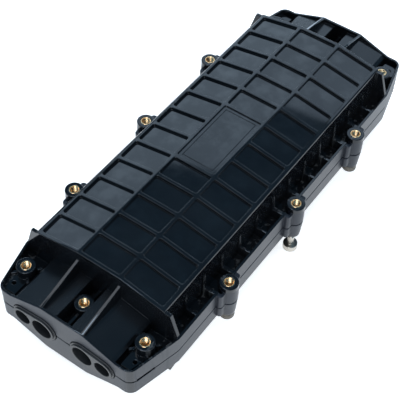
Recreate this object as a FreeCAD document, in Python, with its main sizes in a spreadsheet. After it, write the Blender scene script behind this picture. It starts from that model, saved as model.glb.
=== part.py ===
import FreeCAD, Part
import os
import re
import Sketcher
from FreeCAD import Placement, Rotation, Vector

# Horizontal fibre splice closure: two ribbed half shells, bolted together on a flat parting plane,
# with cable ports at both ends and a stack of splice trays inside.
# +X runs along the length towards the back end, +Y to the left side, +Z up, in millimetres.
# The closure lies on the middle facet of its lower deck, at z = 0.

# Counts
ROWS = 13
LABEL_ROWS = 3
BOSS_STEP = 4
TRAYS = 4
SPLICES = 12

# Driving dimensions, one spreadsheet cell each
SIZES = [
    ("row_pitch", 23.0, "spacing of the rows of pockets along the deck"),
    ("deck_rib", 3.2, "rib between two pockets"),
    ("deck_edge", 3.5, "rib along the deck's long edge"),
    ("pocket_depth", 2.2, "depth of a pocket"),
    ("pocket_radius", 1.6, "corner radius of a pocket"),
    ("label_depth", 1.1, "depth of the bare label panel"),
    ("label_groove", 0.8, "width of the line around the label panel"),
    ("label_inset", 2.8, "line around the label panel, in from its edge"),
    ("fold_line", 19.0, "fold of the roof, from the middle"),
    ("deck_half_width", 58.7, "deck edge, from the middle"),
    ("edge_drop", 7.2, "deck edge below the middle facet"),
    ("half_height", 45.0, "parting plane above the base"),
    ("wall", 3.0, "shell wall"),
    ("flange", 5.0, "flange at the parting plane"),
    ("rim_half_width", 71.7, "rim along the long sides, from the middle"),
    ("rim_wall", 2.2, "wall of the rim and of the bays"),
    ("rim_rise", 15.2, "rim above the parting plane"),
    ("end_reach", 43.0, "end wall beyond the deck"),
    ("end_half_width", 61.0, "rim at the end wall, from the middle"),
    ("corner_radius", 8.0, "plan radius of the end corners"),
    ("crown_rise", 25.4, "end wall's crown above the parting plane"),
    ("crown_shoulder", 48.5, "crown's slope meets the rim, from the middle"),
    ("seam_gap", 0.7, "dark seam at the parting plane"),
    ("rib", 2.4, "thickness of the stiffening ribs"),
    ("ear", 3.4, "thickness of the ribs beside a side boss"),
    ("web_reach", 5.1, "level part of the end web beyond the deck edge"),
    ("web_drop", 1.0, "end web below the deck edge"),
    ("gusset_drop", 3.0, "gusset's top below the deck edge"),
    ("gusset_foot", 2.2, "gusset's steep part, out from the deck edge"),
    ("rib_drop", 0.6, "cross ribs below the rim"),
    ("fin_rise", 20.6, "fin's top at the deck end, above the rim"),
    ("boss_radius", 7.5, "bolt boss"),
    ("boss_foot_radius", 6.3, "lower end of a lower boss"),
    ("boss_rise", 19.0, "upper boss above the parting plane"),
    ("boss_drop", 17.0, "lower boss below the parting plane"),
    ("boss_out", 1.9, "side boss centre beyond the rim"),
    ("bay_out", 4.2, "bay around a side boss beyond the rim"),
    ("bay_radius", 2.5, "upright corners of a bay"),
    ("bay_drop", 11.0, "lower bay below the parting plane"),
    ("end_boss_inset", 25.3, "end boss centre, in from the end wall"),
    ("corner_boss_line", 55.2, "corner boss centre, from the middle"),
    ("star_reach", 12.0, "star ribs around an end boss"),
    ("star_rise", 13.0, "star ribs above the parting plane"),
    ("pad_inset", 12.0, "corner pad centre, in from the end wall"),
    ("pad_line", 56.4, "corner pad centre, from the middle"),
    ("pad_size", 15.0, "corner pad"),
    ("pad_rise", 11.0, "corner pad above the parting plane"),
    ("pin_hole_radius", 1.5, "hole in a corner pad"),
    ("pry_start", 21.5, "near end of a pry slot, beyond the deck"),
    ("pry_end", 37.3, "far end of a pry slot, beyond the deck"),
    ("pry_depth", 3.5, "pry slot in from the slanted wall"),
    ("pry_gap", 2.2, "height of a pry slot"),
    ("insert_radius", 4.25, "threaded insert"),
    ("insert_length", 15.5, "threaded insert"),
    ("insert_fit", 0.02, "gap around a pressed-in insert"),
    ("bolt_radius", 2.7, "bolt shank"),
    ("bolt_fit", 0.3, "gap around a bolt shank"),
    ("bolt_head_radius", 6.0, "bolt head"),
    ("bolt_head_height", 6.0, "bolt head"),
    ("bolt_socket_flats", 5.0, "socket in a bolt head, across flats"),
    ("bolt_socket_depth", 3.0, "socket in a bolt head"),
    ("bolt_tip_depth", 9.0, "bolt tip below the top of its insert"),
    ("loose_bolt_drop", 14.5, "the bolt that is backed out"),
    ("large_port_radius", 8.75, "large cable port"),
    ("small_port_radius", 6.7, "small cable port"),
    ("large_port_line", 18.9, "large cable port, from the middle"),
    ("small_port_line", 37.0, "small cable port, from the middle"),
    ("seal_margin", 3.3, "seal around a cable port"),
    ("seal_fit", 0.3, "gap between a seal and the shells"),
    ("seal_depth", 13.0, "seal behind the end wall's face"),
    ("seal_lip", 0.7, "seal's outer step beyond the end wall"),
    ("seal_collar", 1.4, "collar around the ports beyond the outer step"),
    ("seal_step", 1.3, "collar's edge, in from the seal's edge"),
    ("seal_flange", 1.5, "seal's flange, out from its body"),
    ("seal_flange_length", 4.0, "seal's flange along the cable"),
    ("seal_flange_inset", 5.6, "seal's flange behind the end wall's face"),
    ("housing_wall", 2.2, "shell around a seal"),
    ("chamber_in", 6.8, "inner side of a cable chamber, from the middle"),
    ("chamber_out", 46.5, "outer side of a cable chamber, from the middle"),
    ("chamber_drop", 3.4, "chamber roof below the crown"),
    ("chamber_fall", 6.0, "fall of the chamber roof to its outer side"),
    ("chamber_bevel", 2.5, "bevel along the chamber roof"),
    ("chamber_wall", 2.8, "chamber's side walls"),
    ("gasket_width", 4.0, "gasket strip"),
    ("gasket_depth", 3.0, "gasket below the parting plane"),
    ("gasket_fit", 0.2, "gap beside a gasket"),
    ("gasket_line", 62.0, "side gasket, from the middle"),
    ("gasket_end_line", 47.6, "side gasket at the ends, from the middle"),
    ("post_radius", 4.5, "posts under the tray bracket"),
    ("post_along", 60.0, "bracket posts, from the middle along the length"),
    ("post_across", 32.0, "bracket posts, from the middle across"),
    ("bracket_base", 18.0, "underside of the tray bracket"),
    ("bracket_sheet", 2.0, "tray bracket's sheet"),
    ("screw_radius", 1.5, "small screws"),
    ("screw_fit", 0.05, "gap around a small screw or pin"),
    ("screw_length", 8.0, "small screws below the head"),
    ("screw_head_radius", 3.0, "small screw head"),
    ("screw_head_height", 2.0, "small screw head"),
    ("tray_length", 168.0, "splice tray"),
    ("tray_width", 86.0, "splice tray"),
    ("tray_height", 8.5, "splice tray"),
    ("tray_wall", 1.6, "splice tray's wall and floor"),
    ("tray_radius", 12.0, "splice tray's corners"),
    ("tray_gap", 0.3, "gap between stacked pieces"),
    ("drum_radius", 23.0, "winding drum on a tray"),
    ("drum_centre", 50.0, "winding drum, from the tray's middle"),
    ("holder_length", 28.0, "splice holder along the fibres"),
    ("holder_height", 4.5, "splice holder"),
    ("splice_pitch", 5.2, "splice grooves"),
    ("splice_groove", 3.0, "splice groove's width and depth"),
    ("hinge_reach", 6.0, "hinge axis beyond the tray"),
    ("knuckle_radius", 3.0, "tray's hinge knuckle"),
    ("knuckle_half", 15.0, "tray's hinge knuckle, from the middle"),
    ("lid_sheet", 1.5, "clear lid on the top tray"),
    ("strap_place", -30.0, "strap around the trays, along the length"),
    ("strap_width", 20.0, "strap around the trays"),
    ("strap_sheet", 1.0, "strap around the trays"),
    ("anchor_inset", 25.0, "cable cradles, in from the deck end"),
    ("anchor_base", 33.0, "underside of a cable anchor"),
    ("anchor_sheet", 2.5, "cable anchor's plate"),
    ("anchor_post_radius", 3.6, "posts under a cable anchor"),
    ("anchor_margin", 3.4, "anchor's plate beyond its screws"),
    ("cradle_length", 14.0, "cable cradle along the cable"),
    ("cradle_lip", 5.0, "top of a cradle below the cable's axis"),
    ("cradle_wall", 1.0, "cradle's edge inside the port's radius"),
    ("clamp_length", 10.0, "strength member clamp"),
    ("clamp_width", 8.0, "strength member clamp"),
    ("clamp_height", 10.0, "strength member clamp"),
    ("clamp_gap", 3.0, "clamp behind the cradles"),
    ("member_radius", 1.6, "hole for a cable's strength member"),
    ("overcut", 1.0, "how far a cutting tool runs past what it cuts"),
]

# Sizes that follow from the driving dimensions
DERIVED = {
    "deck_half_length": f"({ROWS} * row_pitch + deck_rib) / 2",
    "end_half_length": "deck_half_length + end_reach",
    "taper": "atan((rim_half_width - end_half_width) / end_reach)",
    "deck_top": "2 * half_height",
    "edge_top": "deck_top - edge_drop",
    "facet_run": "deck_half_width - fold_line",
    "facet_tilt": "atan(edge_drop / facet_run)",
    "roof_skin": "pocket_depth + wall",
    "cavity_half_length": "deck_half_length - wall",
    "cavity_half_width": "deck_half_width - wall",
    "cavity_edge": "edge_top + edge_drop * wall / facet_run - roof_skin",
    "rim_top": "half_height + rim_rise",
    "rib_top": "rim_top - rib_drop",
    "crown_top": "half_height + crown_rise",
    "flange_top": "half_height + flange",
    "chamber_top": "crown_top - chamber_drop",
    "boss_top": "half_height + boss_rise",
    "boss_bottom": "half_height - boss_drop",
    "side_boss_line": "rim_half_width + boss_out",
    "bay_line": "rim_half_width + bay_out",
    "end_boss_place": "end_half_length - end_boss_inset",
    "large_seal_radius": "large_port_radius + seal_margin",
    "small_seal_radius": "small_port_radius + seal_margin",
    "port_tilt": "asin((large_port_radius - small_port_radius) / (small_port_line - large_port_line))",
    "seal_back": "end_half_length - seal_depth",
    "housing_back": "seal_back - housing_wall",
    "gasket_bend": "cavity_half_length",
    "gasket_miter": "tan(22.5 deg)",
    "gasket_end_place": "end_half_length - seal_flange_inset - seal_flange_length / 2",
    "bracket_top": "bracket_base + bracket_sheet",
    "tray_base": "bracket_top + screw_head_height + tray_gap",
    "tray_pitch": "tray_height + tray_gap",
    "tray_half": "tray_length / 2",
    "hinge_line": "tray_half + hinge_reach",
    "fork_half": "knuckle_half + tray_gap",
    "lid_base": f"tray_base + {TRAYS} * tray_pitch",
    "cradle_place": "deck_half_length - anchor_inset",
    "anchor_top": "anchor_base + anchor_sheet",
    "anchor_inner_screw": "large_port_line - large_port_radius - anchor_post_radius + cradle_wall",
    "anchor_outer_screw": "small_port_line + small_port_radius + anchor_post_radius - cradle_wall",
    "clamp_place": "cradle_place - cradle_length / 2 - clamp_gap - clamp_length / 2",
    "clamp_line": "(large_port_line + small_port_line) / 2",
}

ALONG_X = Rotation(Vector(0, 1, 0), 90)
ALONG_Y = Rotation(Vector(1, 0, 0), -90)
# How a sketch's own x and y lie on the model's axes, and the axis across it
PLANE_XY = (Rotation(), "z")
PLANE_YZ = (Rotation(Vector(1, 1, 1), 120), "x")
PLANE_XZ = (Rotation(Vector(1, 0, 0), 90), "y")

doc = FreeCAD.newDocument("splice_closure")
sheet = doc.addObject("Spreadsheet::Sheet", "sheet")
for line, (alias, size, meaning) in enumerate(SIZES, start=1):
    sheet.set(f"A{line}", alias)
    sheet.set(f"B{line}", str(size))
    sheet.setAlias(f"B{line}", alias)
    sheet.set(f"C{line}", meaning)
doc.recompute()
ALIASES = {alias for alias, size, meaning in SIZES}
NODES = []


# Expressions and plain solids

def expression(text):
    """Spell out a formula: derived sizes are opened up and sheet sizes get their address."""
    def spell(match):
        word = match.group(0)
        if word in DERIVED:
            return "(" + expression(DERIVED[word]) + ")"
        if word in ALIASES:
            return "sheet." + word
        return word
    return re.sub(r"[a-z][a-z_]*[a-z]", spell, str(text))


def value(text):
    """The number that a formula gives now."""
    return float(sheet.evalExpression(expression(text)))


def bind(target, **formulas):
    """Tie properties to formulas; a double underscore stands for a dot."""
    for path, formula in formulas.items():
        target.setExpression(path.replace("__", "."), expression(formula))


def place(target, x, y, z):
    """Tie an object's place to three formulas."""
    bind(target, Placement__Base__x=x, Placement__Base__y=y, Placement__Base__z=z)


def node(target, label):
    """Mark an object as a finished piece of the closure."""
    target.Label = label
    NODES.append(target)
    return target


def box(name, middle_x, middle_y, base, length, width, height):
    """Upright block, centred on a point of its base."""
    solid = doc.addObject("Part::Box", name)
    bind(solid, Length=length, Width=width, Height=height)
    place(solid, f"{middle_x} - ({length}) / 2", f"{middle_y} - ({width}) / 2", base)
    return solid


def cylinder(name, x, y, base, radius, height):
    """Upright cylinder."""
    solid = doc.addObject("Part::Cylinder", name)
    bind(solid, Radius=radius, Height=height)
    place(solid, x, y, base)
    return solid


def cone(name, x, y, base, lower_radius, upper_radius, height):
    """Upright cylinder with draft."""
    solid = doc.addObject("Part::Cone", name)
    bind(solid, Radius1=lower_radius, Radius2=upper_radius, Height=height)
    place(solid, x, y, base)
    return solid


def bar(name, turn, x, y, z, radius, length):
    """Cylinder laid along X or Y from its first end."""
    solid = doc.addObject("Part::Cylinder", name)
    solid.Placement = Placement(Vector(), turn)
    bind(solid, Radius=radius, Height=length)
    place(solid, x, y, z)
    return solid


def polygon(name, plane, points):
    """Closed sketch whose corners are tied to formulas."""
    turn = plane[0]
    sketch = doc.addObject("Sketcher::SketchObject", name)
    sketch.Placement = Placement(Vector(), turn)
    corners = [Vector(value(u), value(v), 0) for u, v in points]
    count = len(corners)
    for index in range(count):
        sketch.addGeometry(Part.LineSegment(corners[index], corners[(index + 1) % count]))
    for index in range(count):
        sketch.addConstraint(Sketcher.Constraint("Coincident", index, 2, (index + 1) % count, 1))
    for index, point in enumerate(points):
        for axis, start, formula in zip("XY", corners[index], point):
            row = sketch.addConstraint(Sketcher.Constraint(f"Distance{axis}", -1, 1, index, 1, start))
            sketch.renameConstraint(row, f"{axis.lower()}_{index}")
            sketch.setExpression(f"Constraints.{axis.lower()}_{index}", expression(formula))
    return sketch


def prism(name, plane, points, start, length):
    """Straight prism over a polygon, from start along the plane's normal."""
    sketch = polygon(name + "_outline", plane, points)
    across = plane[1]
    sketch.setExpression(f"Placement.Base.{across}", expression(start))
    solid = doc.addObject("Part::Extrusion", name)
    solid.Base = sketch
    solid.DirMode = "Normal"
    solid.Solid = True
    bind(solid, LengthFwd=length)
    return solid


def fuse(name, parts):
    """One solid of several that overlap."""
    solid = doc.addObject("Part::MultiFuse", name)
    solid.Shapes = parts
    return solid


def group(name, parts):
    """Separate solids kept together."""
    solids = doc.addObject("Part::Compound", name)
    solids.Links = parts
    return solids


def cut(name, base, tool):
    """A solid less a tool or a list of tools that don't overlap each other."""
    solid = doc.addObject("Part::Cut", name)
    solid.Base = base
    solid.Tool = group(name + "_tools", tool) if isinstance(tool, list) else tool
    return solid


def common(name, base, limit):
    """The part of a solid that lies inside another."""
    solid = doc.addObject("Part::Common", name)
    solid.Base = base
    solid.Tool = limit
    return solid


def mirror(name, source, axis):
    """Mirror image across the middle, or across the parting plane for Z."""
    image = doc.addObject("Part::Mirroring", name)
    image.Source = source
    image.Normal = {"X": Vector(1, 0, 0), "Y": Vector(0, 1, 0), "Z": Vector(0, 0, 1)}[axis]
    if axis == "Z":
        bind(image, Base__z="half_height")
    return image


def four_ways(name, source):
    """A back left piece and its images at the other three corners."""
    right = mirror(name + "_right", source, "Y")
    return [source, right, mirror(name + "_front", source, "X"), mirror(name + "_front_right", right, "X")]


def round_upright(name, source, radius, chosen=lambda edge: True):
    """Round the upright edges that are chosen."""
    source.recompute(True)
    size = value(radius)
    edges = []
    for index, edge in enumerate(source.Shape.Edges, start=1):
        direction = edge.Vertexes[-1].Point - edge.Vertexes[0].Point
        if abs(direction.z) > 0.9 * edge.Length and chosen(edge):
            edges.append((index, size, size))
    solid = doc.addObject("Part::Fillet", name)
    solid.Base = source
    solid.Edges = edges
    return solid


def round_box(name, middle_x, middle_y, base, length, width, height, radius):
    """Upright block with rounded upright edges."""
    block = box(name + "_block", middle_x, middle_y, base, length, width, height)
    return round_upright(name, block, radius)


# Shell form, shared by both halves and drawn as the upper one

def outline(name, inset, base, height):
    """Block over the rim's outline, moved in by an inset: eight sides with rounded end corners."""
    side_x = f"deck_half_length - ({inset}) * tan(taper / 2)"
    side_y = f"rim_half_width - ({inset})"
    end_x = f"end_half_length - ({inset})"
    end_y = f"end_half_width - ({inset}) * (1 - sin(taper)) / cos(taper)"
    quarter = [(end_x, end_y), (side_x, side_y)]
    left = quarter + [(f"-({x})", y) for x, y in reversed(quarter)]
    right = [(x, f"-({y})") for x, y in reversed(left)]
    block = prism(name + "_sharp", PLANE_XY, left + right, base, height)
    reach = value(end_x)
    return round_upright(name, block, f"corner_radius - ({inset})",
                         lambda edge: abs(edge.CenterOfMass.x) > reach - 1e-6)


def both_sides(points):
    """A profile drawn on the left side, closed with its image on the right."""
    return points + [(f"-({y})", z) for y, z in reversed(points)]


def row_line(index):
    """Place of the rib line after a number of rows."""
    return f"({index} - {ROWS} / 2) * row_pitch"


def along_length(name, points, half_length):
    """Prism of a YZ profile, the same both ways from the middle."""
    return prism(name, PLANE_YZ, points, f"-({half_length})", f"2 * ({half_length})")


def boss_rows():
    """Places of the three side bosses along the length."""
    return [f"{step} * row_pitch" for step in (-BOSS_STEP, 0, BOSS_STEP)]


def tub():
    """Flange and rim, with an open bay around each side boss."""
    block = outline("tub_block", "0", "half_height", "rim_rise")
    hollow = outline("tub_hollow", "rim_wall", "flange_top", "rim_rise")
    bays = []
    bay_hollows = []
    for index, x in enumerate(boss_rows()):
        bays.append(round_box(f"bay_{index}", x, "0", "half_height", "row_pitch + ear", "2 * bay_line",
                              "rib_top - half_height", "bay_radius"))
        bay_hollows.append(box(f"bay_hollow_{index}", x, "0", "flange_top",
                               "row_pitch - ear", "2 * (bay_line - rim_wall)", "rim_rise"))
    solid = fuse("tub_solid", [block] + bays)
    return cut("tub", cut("tub_open", solid, hollow), bay_hollows)


def deck_roof(y_edge, edge, ridge, base):
    """Roof profile: level in the middle and sloping to both edges."""
    return both_sides([(y_edge, base), (y_edge, edge), ("fold_line", ridge)])


def stiffeners():
    """Ribs, webs and fins that stand on the flange around the deck."""
    parts = []
    gusset = both_sides([
        ("rim_half_width - rim_wall / 2", "half_height"),
        ("rim_half_width - rim_wall / 2", "rib_top"),
        ("deck_half_width + gusset_foot", "rib_top"),
        ("deck_half_width", "edge_top - gusset_drop"),
    ])
    for index in range(1, ROWS):
        offset = abs(index - ROWS / 2)
        beside_boss = offset % BOSS_STEP in (0.5, BOSS_STEP - 0.5)
        thickness = "ear" if beside_boss else "rib"
        parts.append(prism(f"gusset_{index}", PLANE_YZ, gusset,
                           f"{row_line(index)} - {thickness} / 2", thickness))
    web = both_sides([
        ("rim_half_width - rim_wall / 2", "half_height"),
        ("rim_half_width - rim_wall / 2", "rib_top"),
        ("deck_half_width + web_reach", "edge_top - web_drop"),
    ])
    for label, start in (("front", "-deck_half_length"), ("back", "cavity_half_length")):
        parts.append(prism(f"web_{label}", PLANE_YZ, web, start, "wall"))
    fin = both_sides([
        ("end_half_length - rim_wall / 2", "flange_top"),
        ("end_half_length - rim_wall / 2", "crown_top"),
        ("deck_half_length", "rim_top + fin_rise"),
    ])
    for label, line in (("left", "fold_line"), ("right", "-fold_line")):
        parts.append(prism(f"fin_{label}", PLANE_XZ, fin, f"{line} + rib / 2", "rib"))
    return parts


def end_bays():
    """Crown of the end walls, star ribs around the end bosses and corner pads."""
    parts = []
    crown = both_sides([
        ("crown_shoulder", "half_height"),
        ("crown_shoulder", "rim_top"),
        ("fold_line", "crown_top"),
    ])
    for label, start in (("front", "-end_half_length"), ("back", "end_half_length - rim_wall")):
        parts.append(prism(f"crown_{label}", PLANE_YZ, crown, start, "rim_wall"))
    stars = []
    for index, turn in enumerate((45, -45)):
        rib = box(f"star_{index}", "0", "0", "half_height", "2 * star_reach", "rib", "star_rise")
        rib.Placement.Rotation = Rotation(Vector(0, 0, 1), turn)
        half = f"star_reach * cos({turn} deg) - rib / 2 * sin({turn} deg)"
        rise = f"star_reach * sin({turn} deg) + rib / 2 * cos({turn} deg)"
        place(rib, f"end_boss_place - ({half})", f"corner_boss_line - ({rise})", "half_height")
        stars.append(rib)
    pad = box("pad", "end_half_length - pad_inset", "pad_line", "half_height",
              "pad_size", "pad_size", "pad_rise")
    limit = outline("corner_limit", "rim_wall / 2", "half_height", "rim_rise")
    kept = common("corner_ribs_kept", fuse("corner_ribs", stars + [pad]), limit)
    parts += four_ways("corner_ribs", kept)
    for label, sign in (("front", "-1"), ("back", "1")):
        parts.append(box(f"middle_rib_{label}", f"{sign} * (cavity_half_length + end_half_length) / 2", "0",
                         "half_height", "end_reach", "rib", "star_rise"))
    return parts


def chamber_profile(inner, outer, lower, base):
    """Cable chamber: level beside the middle boss, then falling to the outer side."""
    roof = f"chamber_top - ({lower})"
    return [
        (inner, base),
        (inner, roof),
        ("fold_line", roof),
        (f"{outer} - chamber_bevel", f"{roof} - chamber_fall"),
        (outer, f"{roof} - chamber_fall - chamber_bevel"),
        (outer, base),
    ]


def port_hull(name, grow, start, length):
    """Rounded outline around the back left pair of ports, as a prism along the cable."""
    large = f"large_seal_radius + ({grow})"
    small = f"small_seal_radius + ({grow})"
    upper = [
        (f"large_port_line + ({large}) * sin(port_tilt)", f"half_height + ({large}) * cos(port_tilt)"),
        (f"small_port_line + ({small}) * sin(port_tilt)", f"half_height + ({small}) * cos(port_tilt)"),
    ]
    lower = [(y, f"2 * half_height - ({z})") for y, z in reversed(upper)]
    return fuse(name, [
        prism(name + "_middle", PLANE_YZ, upper + lower, start, length),
        bar(name + "_large", ALONG_X, start, "large_port_line", "half_height", large, length),
        bar(name + "_small", ALONG_X, start, "small_port_line", "half_height", small, length),
    ])


def seal_housings():
    """Upper halves of the shell around the four port seals."""
    hull = port_hull("housing_hull", "seal_fit + housing_wall", "housing_back",
                     "end_half_length - housing_back - rim_wall / 2")
    lid = box("housing_limit", "end_half_length", "0", "half_height",
              "2 * end_half_length", "2 * rim_half_width", "rim_rise")
    return four_ways("housing", common("housing", hull, lid))


def seal_openings():
    """Cutting tools for the four port seals, with the groove for each seal's flange."""
    body = port_hull("opening_body", "seal_fit", "housing_back - overcut",
                     "seal_depth + housing_wall + 2 * overcut")
    flange = port_hull("opening_flange", "seal_flange + seal_fit",
                       "end_half_length - seal_flange_inset - seal_flange_length - seal_fit",
                       "seal_flange_length + 2 * seal_fit")
    return four_ways("opening", fuse("opening", [body, flange]))


def deck_pockets():
    """Cutting tools for the pockets of the deck and its label panel."""
    length = "row_pitch - deck_rib"
    height = "pocket_depth + 2 * overcut"
    first_label = (ROWS - LABEL_ROWS) // 2
    side_start = "fold_line + deck_rib / 2"
    side_run = "facet_run - deck_rib / 2 - deck_edge"
    side_top = "deck_top - edge_drop * (deck_rib / 2) / facet_run"
    tools = []
    for index in range(ROWS):
        middle = row_line(index + 0.5)
        if not first_label <= index < first_label + LABEL_ROWS:
            tools.append(round_box(f"pocket_middle_{index}", middle, "0", "deck_top - pocket_depth",
                                   length, "2 * fold_line - deck_rib", height, "pocket_radius"))
        tilted = round_box(f"pocket_side_{index}", "0", "0", "0",
                           length, f"({side_run}) / cos(facet_tilt)", height, "pocket_radius")
        block = tilted.Base
        block.Placement.Rotation = Rotation(Vector(1, 0, 0), -value("facet_tilt"))
        place(block, f"{middle} - ({length}) / 2",
              f"{side_start} - pocket_depth * sin(facet_tilt)",
              f"{side_top} - pocket_depth * cos(facet_tilt)")
        tools += [tilted, mirror(f"pocket_right_{index}", tilted, "Y")]
    label_length = f"{LABEL_ROWS} * row_pitch - deck_rib"
    label_width = "2 * fold_line - deck_rib"
    panel = round_box("label_panel", "0", "0", "deck_top - label_depth",
                      label_length, label_width, height, "pocket_radius")
    line_outer = box("label_line_outer", "0", "0", "deck_top - label_depth - label_groove / 2",
                     f"{label_length} - 2 * label_inset", f"{label_width} - 2 * label_inset", "label_groove")
    line_inner = box("label_line_inner", "0", "0", "deck_top - label_depth - label_groove",
                     f"{label_length} - 2 * (label_inset + label_groove)",
                     f"{label_width} - 2 * (label_inset + label_groove)", "2 * label_groove")
    tools.append(fuse("label_tool", [panel, cut("label_line", line_outer, line_inner)]))
    return tools


def pry_slot():
    """Cutting tool for the slot at the parting plane in the back left slanted wall."""
    points = []
    for along, out in (("pry_start", "overcut"), ("pry_end", "overcut"),
                       ("pry_end", "-pry_depth"), ("pry_start", "-pry_depth")):
        points.append((f"deck_half_length + {along}", f"rim_half_width - {along} * tan(taper) + {out}"))
    return prism("pry_slot", PLANE_XY, points, "half_height - overcut", "overcut + pry_gap / 2")


def shell_form():
    """The half shell without its bosses."""
    roof = along_length("deck_block", deck_roof("deck_half_width", "edge_top", "deck_top", "half_height"),
                        "deck_half_length")
    chamber = along_length("chamber", chamber_profile("chamber_in", "chamber_out", "0", "half_height"),
                           "end_half_length - rim_wall / 2")
    chambers = [chamber, mirror("chamber_right", chamber, "Y")]
    solid = fuse("form_solid", [tub(), roof] + chambers + stiffeners() + end_bays())
    below = "half_height - overcut"
    inner_roof = deck_roof("cavity_half_width", "cavity_edge", "deck_top - roof_skin", below)
    cavity = along_length("cavity", inner_roof, "cavity_half_length")
    duct = along_length("duct", chamber_profile("chamber_in + chamber_wall", "chamber_out - chamber_wall",
                                                "wall", below), "end_half_length - wall")
    ducts = [duct, mirror("duct_right", duct, "Y")]
    hollow = cut("form_hollow", solid, fuse("form_hollows", [cavity] + ducts))
    housed = fuse("form_housed", [hollow] + seal_housings())
    slab = box("seam_slab", "0", "0", "half_height - overcut",
               "3 * end_half_length", "3 * rim_half_width", "overcut + seam_gap / 2")
    inside = outline("seam_inside", "wall", "half_height - 2 * overcut", "4 * overcut")
    seam = cut("seam", slab, inside)
    ported = cut("form_ported", housed, seal_openings())
    seamed = cut("form_seamed", ported, seam)
    hole = cylinder("pin_hole", "end_half_length - pad_inset", "pad_line", "flange_top",
                    "pin_hole_radius", "rim_rise")
    tools = deck_pockets() + four_ways("pin_hole", hole) + four_ways("pry_slot", pry_slot())
    return cut("form", seamed, tools)


# Bolt places, shared by bosses, inserts and bolts

def bolt_places():
    """Name and XY formulas of each bolt: three on each side and three at each end."""
    places = []
    for side, sign in (("left", ""), ("right", "-")):
        for label, x in zip(("front", "middle", "back"), boss_rows()):
            places.append((f"{side}_{label}", x, f"{sign}side_boss_line"))
    for end, sign in (("front", "-"), ("back", "")):
        for label, y in (("left", "corner_boss_line"), ("middle", "0"), ("right", "-corner_boss_line")):
            places.append((f"{end}_end_{label}", f"{sign}end_boss_place", y))
    return places


def at_bolts(name, base, radius, height):
    """The same upright cylinder at every bolt."""
    return [cylinder(f"{name}_{label}", x, y, base, radius, height) for label, x, y in bolt_places()]


def upper_shell(form):
    """Upper half: bosses with a pocket for each insert and a way in for each bolt."""
    bosses = at_bolts("upper_boss", "half_height + seam_gap / 2", "boss_radius", "boss_rise - seam_gap / 2")
    solid = fuse("upper_solid", [form] + bosses)
    ways = at_bolts("upper_way", "half_height - overcut", "bolt_radius + bolt_fit", "boss_rise + 2 * overcut")
    pockets = at_bolts("insert_pocket", "boss_top - insert_length", "insert_radius + insert_fit",
                       "insert_length + overcut")
    tools = [fuse(f"insert_tool_{index}", list(pair)) for index, pair in enumerate(zip(ways, pockets))]
    return node(cut("upper_shell", solid, tools), "upper_shell")


def post(name, x, y, top, radius):
    """Post on the lower shell's floor, which rises beyond the fold line."""
    line = value(f"abs({y})")
    rise = f"edge_drop * (abs({y}) - fold_line) / facet_run" if line > value("fold_line") else "0"
    base = f"{rise} + pocket_depth + wall / 2"
    return cylinder(name, x, y, base, radius, f"{top} - ({base})")


def bracket_posts():
    """Places of the four posts under the tray bracket."""
    return [(f"{along}post_along", f"{across}post_across") for along in ("", "-") for across in ("", "-")]


def anchor_posts():
    """Places of the two screws under each of the four cable anchors."""
    places = []
    for along in ("", "-"):
        for across in ("", "-"):
            for screw in ("anchor_inner_screw", "anchor_outer_screw"):
                places.append((f"{along}(cradle_place)", f"{across}({screw})"))
    return places


def gasket_strip(name, grow):
    """Left side gasket: along the side, in behind the corner bosses and up to the port seals."""
    half = f"(gasket_width / 2 + ({grow}))"
    shift = f"{half} * gasket_miter"
    bend = "gasket_bend"
    inward = "gasket_bend + gasket_line - gasket_end_line"
    end = f"seal_back - gasket_fit + ({grow})"
    edges = []
    for side in ("+", "-"):
        edges.append([
            (f"{bend} {side} {shift}", f"gasket_line {side} {half}"),
            (f"{inward} {side} {shift}", f"gasket_end_line {side} {half}"),
            (end, f"gasket_end_line {side} {half}"),
        ])
    outer, inner = edges
    front_outer = [(f"-({x})", y) for x, y in outer]
    front_inner = [(f"-({x})", y) for x, y in inner]
    points = outer + inner[::-1] + front_inner + front_outer[::-1]
    return prism(name, PLANE_XY, points, "half_height - gasket_depth", "gasket_depth")


def end_gasket(name, sign, grow):
    """Short gasket between the two port seals of an end."""
    gap = "large_port_line - large_seal_radius - seal_flange - seal_fit - gasket_fit"
    return box(name, f"{sign} * gasket_end_place", "0", "half_height - gasket_depth",
               f"gasket_width + 2 * ({grow})", f"2 * ({gap} + ({grow}))", "gasket_depth")


def bay_trims():
    """Cutting tools that leave the lower bays shallower than the upper ones."""
    tools = []
    for index, x in enumerate(boss_rows()):
        left = box(f"bay_trim_{index}", x, "rim_half_width + (bay_out + overcut) / 2",
                   "half_height - rim_rise - overcut", "row_pitch + ear + 2 * overcut",
                   "bay_out + overcut", "rim_rise + overcut - bay_drop")
        tools += [left, mirror(f"bay_trim_right_{index}", left, "Y")]
    return tools


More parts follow.
